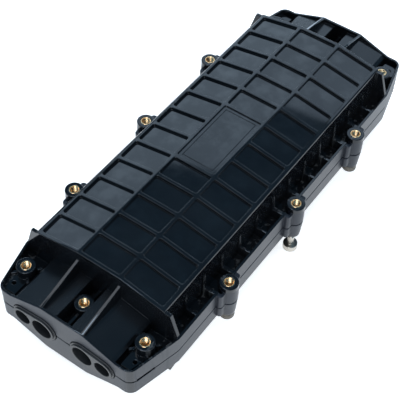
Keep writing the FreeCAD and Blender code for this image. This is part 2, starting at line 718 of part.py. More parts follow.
def lower_shell(form):
    """Lower half: bolt holes, gasket grooves and the posts that carry the inside."""
    bosses = [cone(f"lower_boss_{label}", x, y, "boss_bottom", "boss_foot_radius", "boss_radius",
                   "boss_drop - seam_gap / 2") for label, x, y in bolt_places()]
    posts = [post(f"bracket_post_{index}", x, y, "bracket_base", "post_radius")
             for index, (x, y) in enumerate(bracket_posts())]
    posts += [post(f"anchor_post_{index}", x, y, "anchor_base", "anchor_post_radius")
              for index, (x, y) in enumerate(anchor_posts())]
    trimmed = cut("lower_trimmed", mirror("lower_form", form, "Z"), bay_trims())
    solid = fuse("lower_solid", [trimmed] + bosses + posts)
    tools = at_bolts("lower_way", "boss_bottom - overcut", "bolt_radius + bolt_fit",
                     "boss_drop + 2 * overcut")
    pilots = [(x, y, "bracket_base") for x, y in bracket_posts()]
    pilots += [(x, y, "anchor_base") for x, y in anchor_posts()]
    for index, (x, y, top) in enumerate(pilots):
        tools.append(cylinder(f"pilot_{index}", x, y, f"{top} - screw_length",
                              "screw_radius + screw_fit", "screw_length + overcut"))
    groove = gasket_strip("groove_left", "gasket_fit")
    tools += [groove, mirror("groove_right", groove, "Y")]
    tools += [end_gasket("groove_front", "-1", "gasket_fit"), end_gasket("groove_back", "1", "gasket_fit")]
    return node(cut("lower_shell", solid, tools), "lower_shell")


# Seals

def port_seals():
    """Four port seals: a body with a flange held by the shells and a collar around the ports."""
    face = "end_half_length + seal_lip"
    flange_start = "end_half_length - seal_flange_inset - seal_flange_length"
    solid = fuse("seal_solid", [
        port_hull("seal_body", "0", "seal_back", "seal_depth + seal_lip"),
        port_hull("seal_flange_hull", "seal_flange", flange_start, "seal_flange_length"),
        port_hull("seal_collar_hull", "-seal_step", "end_half_length", "seal_lip + seal_collar"),
    ])
    start = "seal_back - overcut"
    length = f"{face} + seal_collar - seal_back + 2 * overcut"
    ports = [
        bar("large_port", ALONG_X, start, "large_port_line", "half_height", "large_port_radius", length),
        bar("small_port", ALONG_X, start, "small_port_line", "half_height", "small_port_radius", length),
    ]
    back_left = cut("port_seal_back_left", solid, ports)
    back_right = mirror("port_seal_back_right", back_left, "Y")
    seals = [back_left, back_right]
    for side, source in (("left", back_left), ("right", back_right)):
        seals.append(mirror(f"port_seal_front_{side}", source, "X"))
    for seal in seals:
        node(seal, seal.Name)


def gaskets():
    """Two side gaskets and a short one at each end."""
    left = node(gasket_strip("gasket_left", "0"), "gasket_left")
    node(mirror("gasket_right", left, "Y"), "gasket_right")
    node(end_gasket("gasket_front", "-1", "0"), "gasket_front")
    node(end_gasket("gasket_back", "1", "0"), "gasket_back")


# Fasteners

def threaded_inserts():
    """Brass inserts pressed into the upper bosses, open at both ends."""
    bodies = at_bolts("insert_body", "boss_top - insert_length", "insert_radius", "insert_length")
    bores = at_bolts("insert_bore", "boss_top - insert_length - overcut", "bolt_radius + bolt_fit",
                     "insert_length + 2 * overcut")
    node(cut("threaded_inserts", group("insert_bodies", bodies), bores), "threaded_inserts")


def bolt(label, x, y, drop):
    """Round head bolt with a hexagon socket, put in from below."""
    seat = f"boss_bottom - ({drop})"
    head = cylinder(f"bolt_head_{label}", x, y, f"{seat} - bolt_head_height", "bolt_head_radius",
                    "bolt_head_height")
    shank = cylinder(f"bolt_shank_{label}", x, y, seat, "bolt_radius",
                     "boss_top - bolt_tip_depth - boss_bottom")
    socket = doc.addObject("Part::Prism", f"bolt_socket_{label}")
    socket.Polygon = 6
    bind(socket, Circumradius="bolt_socket_flats / sqrt(3)", Height="bolt_socket_depth + overcut")
    place(socket, x, y, f"{seat} - bolt_head_height - overcut")
    return cut(f"bolt_{label}", fuse(f"bolt_solid_{label}", [head, shank]), socket)


def bolts():
    """Bolts of the two halves; the right side's middle one is backed out."""
    tight = []
    for label, x, y in bolt_places():
        if label == "right_middle":
            node(bolt(label, x, y, "loose_bolt_drop"), "backed_out_bolt")
        else:
            tight.append(bolt(label, x, y, "0"))
    node(group("shell_bolts", tight), "shell_bolts")


def screw(name, x, y, seat):
    """Small screw with a flat round head on a seat."""
    head = cylinder(f"{name}_head", x, y, seat, "screw_head_radius", "screw_head_height")
    shank = cylinder(f"{name}_shank", x, y, f"{seat} - screw_length", "screw_radius", "screw_length")
    return fuse(name, [head, shank])


# Splice trays and what carries them

def hinge_height(index):
    """Height of a tray's hinge axis."""
    return f"tray_base + {index} * tray_pitch + tray_height / 2"


def pin_holes(name, radius):
    """Hinge holes of all trays, right across the fork."""
    reach = "fork_half + 2 * bracket_sheet"
    return [bar(f"{name}_{index}", ALONG_Y, "hinge_line", f"-({reach})", hinge_height(index),
                radius, f"2 * ({reach})") for index in range(TRAYS)]


def tray_bracket():
    """Sheet bracket on the lower shell's posts, with a fork for the tray hinges."""
    front = "-tray_half"
    back = "hinge_line + 2 * knuckle_radius"
    plate = box("bracket_plate", f"({front} + {back}) / 2", "0", "bracket_base",
                f"{back} - ({front})", "tray_width - 2 * strap_sheet", "bracket_sheet")
    parts = [plate]
    for side, sign in (("left", "1"), ("right", "-1")):
        line = f"{sign} * (fork_half + bracket_sheet / 2)"
        height = f"{hinge_height(TRAYS - 1)} + 1.5 * knuckle_radius - bracket_base"
        parts.append(box(f"fork_{side}", "hinge_line", line, "bracket_base",
                         "3 * knuckle_radius", "bracket_sheet", height))
    holes = [cylinder(f"bracket_hole_{index}", x, y, "bracket_base - overcut", "screw_radius + screw_fit",
                      "bracket_sheet + 2 * overcut") for index, (x, y) in enumerate(bracket_posts())]
    solid = fuse("bracket_solid", parts)
    holes += pin_holes("fork_hole", "screw_radius + screw_fit")
    node(cut("tray_bracket", solid, holes), "tray_bracket")
    screws = [screw(f"bracket_screw_{index}", x, y, "bracket_top")
              for index, (x, y) in enumerate(bracket_posts())]
    node(group("bracket_screws", screws), "bracket_screws")
    pins = [bar(f"hinge_pin_{index}", ALONG_Y, "hinge_line", "-fork_half - 1.5 * bracket_sheet",
                hinge_height(index), "screw_radius", "2 * fork_half + 3 * bracket_sheet")
            for index in range(TRAYS)]
    node(group("tray_hinge_pins", pins), "tray_hinge_pins")


def splice_tray(index):
    """Tray with two winding drums and a hinge knuckle, and the holder for its splices."""
    name = f"splice_tray_{index + 1}"
    base = f"tray_base + {index} * tray_pitch"
    block = round_box(f"{name}_block", "0", "0", base,
                      "tray_length", "tray_width", "tray_height", "tray_radius")
    hollow = round_box(f"{name}_hollow", "0", "0", f"{base} + tray_wall", "tray_length - 2 * tray_wall",
                       "tray_width - 2 * tray_wall", "tray_height", "tray_radius - tray_wall")
    parts = [cut(f"{name}_pan", block, hollow)]
    for side, sign in (("front", "-"), ("back", "")):
        drum = cylinder(f"{name}_drum_{side}", f"{sign}drum_centre", "0", base, "drum_radius",
                        "tray_height - tray_wall")
        core = cylinder(f"{name}_core_{side}", f"{sign}drum_centre", "0", f"{base} + tray_wall",
                        "drum_radius - tray_wall", "tray_height")
        parts.append(cut(f"{name}_ring_{side}", drum, core))
    parts.append(bar(f"{name}_knuckle", ALONG_Y, "hinge_line", "-knuckle_half", hinge_height(index),
                     "knuckle_radius", "2 * knuckle_half"))
    parts.append(box(f"{name}_tab", "tray_half + (hinge_reach - tray_wall) / 2", "0",
                     f"{hinge_height(index)} - tray_wall / 2", "hinge_reach + tray_wall",
                     "2 * knuckle_half", "tray_wall"))
    hole = bar(f"{name}_hinge_hole", ALONG_Y, "hinge_line", "-knuckle_half - overcut", hinge_height(index),
               "screw_radius + screw_fit", "2 * (knuckle_half + overcut)")
    node(cut(name, fuse(f"{name}_solid", parts), hole), name)
    holder_base = f"{base} + tray_wall"
    holder = box(f"holder_{index}_block", "0", "0", holder_base, "holder_length",
                 f"({SPLICES} + 0.5) * splice_pitch", "holder_height")
    grooves = [box(f"holder_{index}_groove_{slot}", "0", f"({slot} - {(SPLICES - 1) / 2}) * splice_pitch",
                   f"{holder_base} + holder_height - splice_groove", "holder_length + 2 * overcut",
                   "splice_groove", "splice_groove + overcut") for slot in range(SPLICES)]
    node(cut(f"splice_holder_{index + 1}", holder, grooves), f"splice_holder_{index + 1}")


def tray_cover():
    """Clear lid on the top tray and the strap around the stack."""
    lid = round_box("tray_lid", "0", "0", "lid_base", "tray_length", "tray_width", "lid_sheet", "tray_radius")
    node(lid, "tray_lid")
    base = "bracket_base - tray_gap - strap_sheet"
    height = f"lid_base + lid_sheet + tray_gap + strap_sheet - ({base})"
    outer = box("strap_outer", "strap_place", "0", base, "strap_width",
                "tray_width + 2 * (tray_gap + strap_sheet)", height)
    inner = box("strap_inner", "strap_place", "0", f"{base} + strap_sheet", "strap_width + 2 * overcut",
                "tray_width + 2 * tray_gap", f"{height} - 2 * strap_sheet")
    node(cut("tray_strap", outer, inner), "tray_strap")


# Cable anchors

def cable_anchors():
    """At each corner an anchor plate with two cradles, and a clamp for the cables' strength members."""
    clamp_end = "clamp_place - clamp_length / 2"
    cradle_end = "cradle_place + cradle_length / 2"
    inner = "anchor_inner_screw - anchor_margin"
    outer = "anchor_outer_screw + anchor_margin"
    middle = (f"({clamp_end} + {cradle_end}) / 2", f"({inner} + {outer}) / 2")
    plate = box("anchor_plate", *middle, "anchor_base",
                f"{cradle_end} - ({clamp_end})", f"{outer} - ({inner})", "anchor_sheet")
    cradles = []
    cables = []
    for size in ("large", "small"):
        radius = f"{size}_port_radius"
        line = f"{size}_port_line"
        cradles.append(box(f"cradle_{size}", "cradle_place", line, "anchor_base", "cradle_length",
                           f"2 * ({radius} - cradle_wall)", "half_height - cradle_lip - anchor_base"))
        cables.append(bar(f"cradle_{size}_groove", ALONG_X, f"{clamp_end} - overcut", line, "half_height",
                          radius, f"{cradle_end} - ({clamp_end}) + 2 * overcut"))
    holes = [cylinder(f"anchor_hole_{place_name}", "cradle_place", line, "anchor_base - overcut",
                      "screw_radius + screw_fit", "anchor_sheet + 2 * overcut")
             for place_name, line in (("inner", "anchor_inner_screw"), ("outer", "anchor_outer_screw"))]
    member = "anchor_top + clamp_height / 2"
    clamp_block = box("clamp_block", "clamp_place", "clamp_line", "anchor_top",
                      "clamp_length", "clamp_width", "clamp_height")
    clamp_tools = fuse("clamp_tools", [
        bar("clamp_member_hole", ALONG_X, f"{clamp_end} - overcut", "clamp_line", member, "member_radius",
            "clamp_length + 2 * overcut"),
        cylinder("clamp_screw_hole", "clamp_place", "clamp_line", f"{member} + member_radius / 2",
                 "screw_radius + screw_fit", "clamp_height"),
    ])
    solids = {
        "cable_anchor": cut("cable_anchor", fuse("anchor_solid", [plate] + cradles), cables + holes),
        "strength_clamp": cut("strength_clamp", clamp_block, clamp_tools),
    }
    corners = ("back_left", "back_right", "front_left", "front_right")
    for kind, solid in solids.items():
        for corner, piece in zip(corners, four_ways(kind, solid)):
            node(piece, f"{kind}_{corner}")
    screws = [screw(f"anchor_screw_{index}", x, y, "anchor_top")
              for index, (x, y) in enumerate(anchor_posts())]
    node(group("anchor_screws", screws), "anchor_screws")
    clamp_screw_length = "clamp_height / 2 - member_radius"
    top = "anchor_top + clamp_height"
    clamp_screw = fuse("clamp_screw", [
        cylinder("clamp_screw_head", "clamp_place", "clamp_line", top,
                 "screw_head_radius", "screw_head_height"),
        cylinder("clamp_screw_shank", "clamp_place", "clamp_line", f"{top} - ({clamp_screw_length})",
                 "screw_radius", clamp_screw_length),
    ])
    node(group("clamp_screws", four_ways("clamp_screw", clamp_screw)), "clamp_screws")


def export():
    """Check every object, then write each piece to its own file."""
    doc.recompute()
    for item in doc.Objects:
        if "Invalid" in item.State or "Error" in item.State:
            raise RuntimeError(f"{item.Name} did not build: {item.State}")
    for piece in NODES:
        if piece.Shape.isNull() or not piece.Shape.isValid():
            raise RuntimeError(f"{piece.Label} has no valid shape")
    os.makedirs("parts", exist_ok=True)
    for piece in NODES:
        piece.Shape.exportStep(f"parts/{piece.Label}.step")
        size = piece.Shape.BoundBox
        print(f"{piece.Label}: {len(piece.Shape.Solids)} solids, {piece.Shape.Volume:.0f} mm3, "
              f"{size.XLength:.1f} x {size.YLength:.1f} x {size.ZLength:.1f} mm")


half = shell_form()
upper_shell(half)
lower_shell(half)
port_seals()
gaskets()
threaded_inserts()
bolts()
tray_bracket()
for tray in range(TRAYS):
    splice_tray(tray)
tray_cover()
cable_anchors()
export()
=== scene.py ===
"""Looks of a horizontal fibre splice closure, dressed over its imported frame.

The half shells, port seals, trays, bracket, anchors and clamps get eased edges. The bolts, inserts and strap
are made anew with their threads and weave, and every surface gets a procedural finish. Meshes are in metres.
Sizes in the classes are in millimetres, or in metres where they are given times MM or belong to the studio.
"""

from __future__ import annotations

import logging
import math
from dataclasses import dataclass, field
from enum import Enum
from typing import Any, Union

import bmesh
import bpy
import numpy as np
from bmesh.types import BMEdge, BMesh
from bpy.types import Material, NodeSocket, Object
from mathutils import Matrix, Vector

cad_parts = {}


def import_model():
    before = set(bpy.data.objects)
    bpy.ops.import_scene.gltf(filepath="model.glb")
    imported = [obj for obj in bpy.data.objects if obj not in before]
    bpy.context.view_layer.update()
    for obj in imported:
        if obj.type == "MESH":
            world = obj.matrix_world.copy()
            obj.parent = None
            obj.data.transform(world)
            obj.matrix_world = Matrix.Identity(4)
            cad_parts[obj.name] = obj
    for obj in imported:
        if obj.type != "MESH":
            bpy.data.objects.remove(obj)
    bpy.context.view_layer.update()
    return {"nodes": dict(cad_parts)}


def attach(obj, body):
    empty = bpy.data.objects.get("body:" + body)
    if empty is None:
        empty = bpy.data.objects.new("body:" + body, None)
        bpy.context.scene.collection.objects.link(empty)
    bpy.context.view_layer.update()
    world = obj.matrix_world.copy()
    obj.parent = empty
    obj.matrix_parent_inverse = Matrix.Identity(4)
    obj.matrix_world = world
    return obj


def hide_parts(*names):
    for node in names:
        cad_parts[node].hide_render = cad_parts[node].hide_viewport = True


LOG = logging.getLogger("splice_closure")
MM = 0.001
Pair = tuple[float, float]
Triple = tuple[float, float, float]
Colour = Triple
Inputs = dict[str, Any]

# Sizes of the closure that several classes share, in millimetres
PARTING = 45.0
BOLT_LINE = 73.6
BOLT_SEAT = 28.0
HEAD_HEIGHT = 6.0
CORNERS = tuple(f"{end}_{side}" for end in ("back", "front") for side in ("left", "right"))

# Distance over which one finish gives way to the next, in millimetres
FADE = 0.5


class Body(Enum):
    """The rigid bodies that pieces ride on."""

    BASE = "base"
    COVER = "cover"


class Slot(Enum):
    """The record's material slots."""

    SHELL = "shell_black"
    SEAL = "seal_rubber"
    GASKET = "gasket_rubber"
    INSERT = "insert_brass"
    BOLT = "bolt_steel"
    BRACKET = "bracket_aluminium"
    SCREW = "screw_steel"
    TRAY = "tray_plastic"
    HOLDER = "holder_plastic"
    LID = "lid_clear"
    STRAP = "strap_fabric"
    ANCHOR = "anchor_steel"
    CLAMP = "clamp_brass"


# Shader graphs


@dataclass(frozen=True)
class Noise:
    """Smooth noise: features per length, finer layers and their strength, stretch and turn of its place.

    The limits are the values at which patches made from the noise start and are full. The share is how far it
    counts in the colour, coat or height, and the wear is what it adds to the roughness.
    """

    scale: float
    detail: float = 2.0
    roughness: float = 0.5
    stretch: Triple = (1.0, 1.0, 1.0)
    turn: float = 0.0
    limits: Pair = (0.0, 1.0)
    share: float = 1.0
    wear: float = 0.0


@dataclass(frozen=True)
class Wire:
    """An output socket, as a value, place or colour that takes part in Python expressions."""

    graph: Graph
    socket: NodeSocket

    def __add__(self, other: Operand) -> Wire:
        """Sum of two values."""
        return self.graph.math("ADD", self, other)

    def __sub__(self, other: Operand) -> Wire:
        """Difference of two values."""
        return self.graph.math("SUBTRACT", self, other)

    def __rsub__(self, other: Operand) -> Wire:
        """Difference from a number on the left."""
        return self.graph.math("SUBTRACT", other, self)

    def __mul__(self, other: Operand) -> Wire:
        """Product of two values."""
        return self.graph.math("MULTIPLY", self, other)

    def __truediv__(self, other: Operand) -> Wire:
        """Quotient of two values."""
        return self.graph.math("DIVIDE", self, other)

    def __abs__(self) -> Wire:
        """Size of a value without its sign."""
        return self.graph.math("ABSOLUTE", self)

    def at_least(self, other: Operand) -> Wire:
        """Larger of two values."""
        return self.graph.math("MAXIMUM", self, other)

    def rise(self, low: float, high: float) -> Wire:
        """Smooth step from 0 at low to 1 at high."""
        return self.graph.node("MapRange", {"Value": self, "From Min": low, "From Max": high},
                               interpolation_type="SMOOTHSTEP")

    def above(self, limit: float, fade: float = FADE) -> Wire:
        """Mask that is 0 up to a limit and 1 past its fade."""
        return self.rise(limit, limit + fade)

    def below(self, limit: float) -> Wire:
        """Mask that is 1 up to a limit and 0 past its fade."""
        return 1 - self.above(limit)

    def swing(self, share: float) -> Wire:
        """Swing of a noise about its middle, times a share."""
        return (self - 0.5) * share

    def spread(self, low: float, high: float) -> Wire:
        """Straight map of 0 to 1 on low to high."""
        return self.graph.node("MapRange", {"Value": self, "To Min": low, "To Max": high})

    def axes(self) -> tuple[Wire, Wire, Wire]:
        """Components x, y and z of a place."""
        x, y, z = self.graph.node("SeparateXYZ", {"Vector": self}).socket.node.outputs
        return Wire(self.graph, x), Wire(self.graph, y), Wire(self.graph, z)

    def noise(self, kind: Noise) -> Wire:
        """Smooth noise from 0 to 1, read at this place."""
        spot = self.graph.node("Mapping", {"Vector": self, "Scale": kind.stretch,
                                           "Rotation": (0.0, 0.0, kind.turn)})
        return self.graph.node("TexNoise", {"Vector": spot, "Scale": kind.scale, "Detail": kind.detail,
                                            "Roughness": kind.roughness})

    def patches(self, kind: Noise) -> Wire:
        """Patches of 1 on 0 where a noise read at this place passes its limits."""
        return self.noise(kind).rise(*kind.limits)

    def mix(self, first: Any, second: Any) -> Wire:
        """Colour between two colours or wires: the first where this value is 0, the second where it is 1."""
        return self.graph.node("Mix", {0: self, 6: first, 7: second}, 2, data_type="RGBA")

    def bump(self, depth: float, strength: float, below: Wire | None = None) -> Wire:
        """Normal that follows this value as a height.

        Args:
            depth: What a value of 1 stands for, in millimetres.
            strength: How far the bump counts.
            below: A coarser bump below it.

        Returns:
            The bent normal.
        """
        inputs: Inputs = {"Height": self, "Distance": depth * MM, "Strength": strength}
        if below is not None:
            inputs["Normal"] = below
        return self.graph.node("Bump", inputs)


Operand = Union[Wire, float]


class Graph:
    """A material's node tree, built from expressions."""

    def __init__(self, name: str) -> None:
        """Start a material with a bare surface shader.

        Args:
            name: The material's name.
        """
        self.material = bpy.data.materials.new(name)
        self.material.use_nodes = True
        self.tree = self.material.node_tree
        self.shader = self.tree.nodes["Principled BSDF"]

    def node(self, kind: str, inputs: dict[Any, Any], output: int | str = 0, **settings: Any) -> Wire:
        """Add a node.

        Args:
            kind: The node's type, without its first words.
            inputs: Values or wires for its sockets, by name or index.
            output: Which of its outputs is wanted.
            **settings: Its own settings, set first.

        Returns:
            The wanted output.
        """
        made = self.tree.nodes.new("ShaderNode" + kind)
        for key, setting in settings.items():
            setattr(made, key, setting)
        for key, given in inputs.items():
            self.feed(made.inputs[key], given)
        return Wire(self, made.outputs[output])

    def feed(self, socket: NodeSocket, given: Any) -> None:
        """Link a wire to a socket, or set the socket's own value.

        Args:
            socket: The socket to feed.
            given: A wire, a value or a colour.
        """
        if isinstance(given, Wire):
            self.tree.links.new(given.socket, socket)
        elif socket.type == "RGBA":
            socket.default_value = (*given, 1.0)
        else:
            socket.default_value = given

    def math(self, operation: str, *operands: Operand) -> Wire:
        """Add a Math node on one or two values."""
        return self.node("Math", dict(enumerate(operands)), operation=operation)


# Finishes


class Finish:
    """A look that can be made into a material."""

    def inputs(self, place: Wire) -> Inputs:
        """What the surface shader is fed with: values and wires, by the names of its sockets."""
        raise NotImplementedError

    def material(self, name: str) -> Material:
        """Build the material.

        Args:
            name: Its name.

        Returns:
            The material.
        """
        graph = Graph(name)
        place = graph.node("TexCoord", {}, "Object")
        for socket, given in self.inputs(place).items():
            graph.feed(graph.shader.inputs[socket], given)
        return graph.material


@dataclass(frozen=True)
class ShellFinish(Finish):
    """Black moulded plastic: polished decks and bays, satin outer walls with a fine grain and a painted cool
    tint, dust, painted reflections in the channels and painted highlights on their gussets.

    The two half shells mirror each other across the parting plane, so one set of masks serves both.
    """

    deep: Colour = (0.0034, 0.0040, 0.0052)
    pale: Colour = (0.0058, 0.0068, 0.0084)
    # Lighter tone of the satin outer walls, with a cool tint that is painted reflection
    satin_tone_and_tint: Colour = (0.0060, 0.0082, 0.0140)
    # Colour of the dust specks, and of the painted reflections and highlights in the channels
    dust_and_glint: Colour = (0.060, 0.064, 0.068)
    polished: float = 0.055
    bays: float = 0.07
    satin: float = 0.40
    smoothest: float = 0.035
    roof_sheen: float = 0.55
    deck_clean: float = 0.7
    skin_depth: float = 0.05
    swell_strength: float = 0.5
    grain_strength: float = 0.6
    wall_grain: float = 0.85
    least_grain: float = 0.03
    deck_from: float = 33.5
    deck_fade: float = 1.0
    deck_half_width: float = 59.3
    deck_half_length: float = 151.8
    rim_rise: float = 14.5
    side: float = 71.7
    end: float = 194.1
    slant: float = 13.97
    slant_line: float = 106.06
    wall_skin: float = 0.6
    channel_to: float = 69.1
    row_pitch: float = 23.0
    rib_half: float = 1.5
    gusset_to: float = 61.5
    last_gusset: float = 143.8
    # Painted highlights on the gussets start this far off the parting plane and fade in over this
    highlight_from: float = 20.0
    highlight_fade: float = 13.0
    roof_from: float = 152.0
    roof_to: float = 191.3
    roof_top: float = 24.0
    roof_middle: float = 26.7
    roof_half: float = 22.1
    fin_line: float = 19.0
    cloud: Noise = Noise(28.0, 3.0, limits=(0.35, 0.70), wear=0.03)
    dusty_cloud: Pair = (0.52, 0.72)
    sink: Noise = Noise(36.0, 1.0, share=0.7)
    flow: Noise = Noise(130.0, stretch=(0.4, 1.0, 1.0), share=0.3)
    grain: Noise = Noise(2600.0, roughness=0.6, wear=0.16)
    specks: Noise = Noise(900.0, 1.0, limits=(0.70, 0.78), share=0.22, wear=0.10)
    # Long marks on the channel walls: painted reflections, in the dust colour
    reflection_streaks: Noise = Noise(210.0, stretch=(1.0, 1.0, 0.10), limits=(0.54, 0.70), share=0.60, wear=0.20)
    smudges: Noise = Noise(62.0, 4.0, 0.62, limits=(0.42, 0.70), share=0.30)

    def masks(self, along: Wire, across: Wire, off: Wire) -> tuple[Wire, Wire, Wire, Wire, Wire]:
        """Masks of the shell's regions, each 1 in its region and 0 elsewhere.

        The decks lie far off the parting plane, the outer walls near the rim's outline, and the channels
        between the two. Painted highlights lie on the upper ends of the channels' gussets, one in each row,
        where their sloped tops catch light. The roofs are those of the cable chambers, without their fins.

        Args:
            along: Distance along the closure from its middle, in millimetres.
            across: Distance across it.
            off: Distance from its parting plane.

        Returns:
            Masks of decks, outer walls, channels, rub marks and roofs.
        """
        outline = across.below(self.deck_half_width) * along.below(self.deck_half_length)
        deck = off.above(self.deck_from, self.deck_fade) * outline

        lean = math.radians(self.slant)
        slanted = along * math.sin(lean) + across * math.cos(lean) - self.slant_line
        flank = (across - self.side).at_least(slanted).above(-self.wall_skin) * off.below(self.rim_rise)
        outer = flank.at_least((along - self.end).above(-self.wall_skin))

        channel = across.above(self.deck_half_width) * across.below(self.channel_to)
        half_row = self.row_pitch / 2
        from_gusset = along.graph.math("PINGPONG", along - half_row, half_row)
        gusset = from_gusset.below(self.rib_half) * along.below(self.last_gusset)
        # Painted highlights: the upper ends of the gussets, lightened where their sloped tops catch light
        rubs_and_highlights = channel * gusset * across.below(self.gusset_to) * off.above(self.highlight_from, self.highlight_fade)

        length = along.above(self.roof_from) * along.below(self.roof_to)
        width = abs(across - self.roof_middle).below(self.roof_half)
        roof = length * width * off.below(self.roof_top) * abs(across - self.fin_line).above(self.rib_half)
        return deck, outer, channel, rubs_and_highlights, roof

    def inputs(self, place: Wire) -> Inputs:
        """Sheen by region, dust in specks, streaked painted reflections in the channels, painted highlights
        on the gussets, smudges as a thin coat, and two layers of bump.

        Args:
            place: Object coordinates, in metres.

        Returns:
            The shader's inputs.
        """
        x, y, z = place.axes()
        regions = self.masks(abs(x / MM), abs(y / MM), abs(z / MM - PARTING))
        deck, outer, channel, rubs_and_highlights, roof = regions
        cloud, grain = place.noise(self.cloud), place.noise(self.grain)
        specks = place.patches(self.specks) * cloud.rise(*self.dusty_cloud) * (1 - channel)
        # Painted reflections: lighter marks on the channel walls stand in for the light that they reflect
        reflection_streaks = place.patches(self.reflection_streaks) * channel
        smudges = place.patches(self.smudges) * deck

        speckled = specks * (1 - deck * self.deck_clean) * self.specks.share
        # Real dust in specks, with painted reflections in the channels and painted highlights on the gussets
        dust_and_painted_light = speckled.at_least(reflection_streaks * self.reflection_streaks.share).at_least(rubs_and_highlights)
        plastic = cloud.rise(*self.cloud.limits).mix(self.deep, self.pale)
        sheen = outer.at_least(roof * self.roof_sheen).spread(self.bays, self.satin)
        rough = sheen * (1 - deck) + deck * self.polished + cloud.swing(self.cloud.wear)
        dull = specks * self.specks.wear + (reflection_streaks + rubs_and_highlights) * self.reflection_streaks.wear
        wear = grain.swing(self.grain.wear) * outer + dull
        sink, flow = (place.noise(kind) * kind.share for kind in (self.sink, self.flow))
        swell = (sink + flow).bump(self.skin_depth, self.swell_strength)
        skin = grain * (outer * self.wall_grain + self.least_grain)
        # Base colour: the plastic, the outer walls' tone with its painted cool tint, and dust with painted
        # light in the channels
        return {
            "Base Color": dust_and_painted_light.mix(outer.mix(plastic, self.satin_tone_and_tint), self.dust_and_glint),
            "Roughness": (rough + wear).at_least(self.smoothest),
            "Normal": skin.bump(self.skin_depth, self.grain_strength, swell),
            "Coat Weight": smudges * self.smudges.share,
            "Coat Roughness": 0.11,
            "Specular Tint": (0.90, 0.94, 1.0),
            "IOR": 1.45,
        }


@dataclass(frozen=True)
class CloudedFinish(Finish):
    """A plain surface: a second colour in clouds, and a fine grain. As it stands it is moulded plastic."""

    colour: Colour
    second: Colour
    roughness: float
    cloud: Noise = Noise(40.0, 3.0, limits=(0.30, 0.80), share=0.5)
    smoother: float = 0.05
    rougher: float = 0.07
    grain: Noise = Noise(1800.0)
    depth: float = 0.03
    strength: float = 0.4
    metallic: float = 0.0
    ior: float = 1.49

    def inputs(self, place: Wire) -> Inputs:
        """Clouds that cover a share of the colour and carry the roughness past its usual value both ways.

        Args:
            place: Object coordinates, in metres.

        Returns:
            The shader's inputs.
        """
        cloud, grain = place.noise(self.cloud), place.noise(self.grain)
        rough = cloud.spread(self.roughness - self.smoother, self.roughness + self.rougher)
        cover = cloud.rise(*self.cloud.limits) * self.cloud.share
        return {
            "Base Color": cover.mix(self.colour, self.second),
            "Roughness": rough + grain.swing(self.grain.wear),
            "Normal": grain.bump(self.depth, self.strength),
            "Metallic": self.metallic,
            "IOR": self.ior,
        }


@dataclass(frozen=True)
class RubberFinish(CloudedFinish):
    """Black rubber: soft grey bloom and a fine grain."""

    cloud: Noise = Noise(55.0, 3.0, limits=(0.40, 0.75), share=0.6)
    smoother: float = 0.06
    rougher: float = 0.08
    grain: Noise = Noise(1500.0, wear=0.08)
    depth: float = 0.04
    strength: float = 0.5
    ior: float = 1.50


def tool_marks(stretch: Triple = (1.0, 1.0, 1.0)) -> Noise:
    """Grain of worked metal, drawn out along an axis where its stretch is small."""
    return Noise(2200.0, stretch=stretch, wear=0.14)


@dataclass(frozen=True)
class MetalFinish(CloudedFinish):
    """Worked metal: tarnish in clouds, and tool marks, drawn out where the grain is stretched."""

    cloud: Noise = Noise(160.0, 3.0, limits=(0.45, 0.80), share=0.7)
    rougher: float = 0.10
    grain: Noise = tool_marks()
    depth: float = 0.01
    strength: float = 0.6
    metallic: float = 1.0
    ior: float = 1.50


@dataclass(frozen=True)
class BoltFinish(Finish):
    """Plated steel: bright threads, painted shade on the heads that sit under the bosses, and thin clouds of
    tarnish.
    """

    bright: Colour = (0.50, 0.47, 0.42)
    # Dark colour of the tarnish clouds, and of the painted shade on the seated heads
    film_and_shade: Colour = (0.085, 0.078, 0.068)
    roughness: Pair = (0.36, 0.52)
    loose_reach: float = 12.0
    head_margin: float = 0.1
    # How far the seated heads are darkened with painted shade
    head_shade: float = 0.9
    cloud: Noise = Noise(420.0, 3.0, limits=(0.50, 0.80), share=0.45)
    marks: Noise = tool_marks()
    depth: float = 0.01
    strength: float = 0.6

    def inputs(self, place: Wire) -> Inputs:
        """Painted shade on the seated heads under the bosses, but not near the backed-out bolt, and thin
        clouds of tarnish everywhere.

        Args:
            place: Object coordinates, in metres.

        Returns:
            The shader's inputs.
        """
        x, y, z = place.axes()
        seated = abs(x / MM).at_least(abs(y / MM + BOLT_LINE)).above(self.loose_reach)
        head = abs(z / MM - (BOLT_SEAT - HEAD_HEIGHT / 2)).below(HEAD_HEIGHT / 2 + self.head_margin)
        # Painted shade darkens the heads under the bosses, away from the backed-out bolt; the clouds are
        # tarnish
        dull = head * seated * self.head_shade + place.patches(self.cloud) * self.cloud.share
        marks = place.noise(self.marks)
        return {
            "Base Color": dull.mix(self.bright, self.film_and_shade),
            "Roughness": dull.spread(*self.roughness) + marks.swing(self.marks.wear),
            "Metallic": 1.0,
            "Normal": marks.bump(self.depth, self.strength),
        }


@dataclass(frozen=True)
class ClearFinish(Finish):
    """Clear moulded sheet with faint rub marks."""

    tint: Colour = (0.86, 0.91, 0.93)
    rubs_and_highlights: Colour = (0.95, 0.96, 0.97)
    alpha: Pair = (0.24, 0.34)
    roughness: Pair = (0.05, 0.14)
    cloud: Noise = Noise(45.0)
    rubs: Noise = Noise(300.0, 3.0, stretch=(0.15, 1.0, 1.0), turn=0.5, limits=(0.58, 0.72), share=0.4,
                        wear=0.12)

    def inputs(self, place: Wire) -> Inputs:
        """Rub marks in the colour, the roughness and the alpha.

        Args:
            place: Object coordinates, in metres.

        Returns:
            The shader's inputs.
        """
        rubs = place.patches(self.rubs)
        return {
            "Base Color": (rubs * self.rubs.share).mix(self.tint, self.rubs_and_highlights),
            "Roughness": place.noise(self.cloud).spread(*self.roughness) + rubs * self.rubs.wear,
            "Alpha": rubs.spread(*self.alpha),
            "IOR": 1.49,
        }


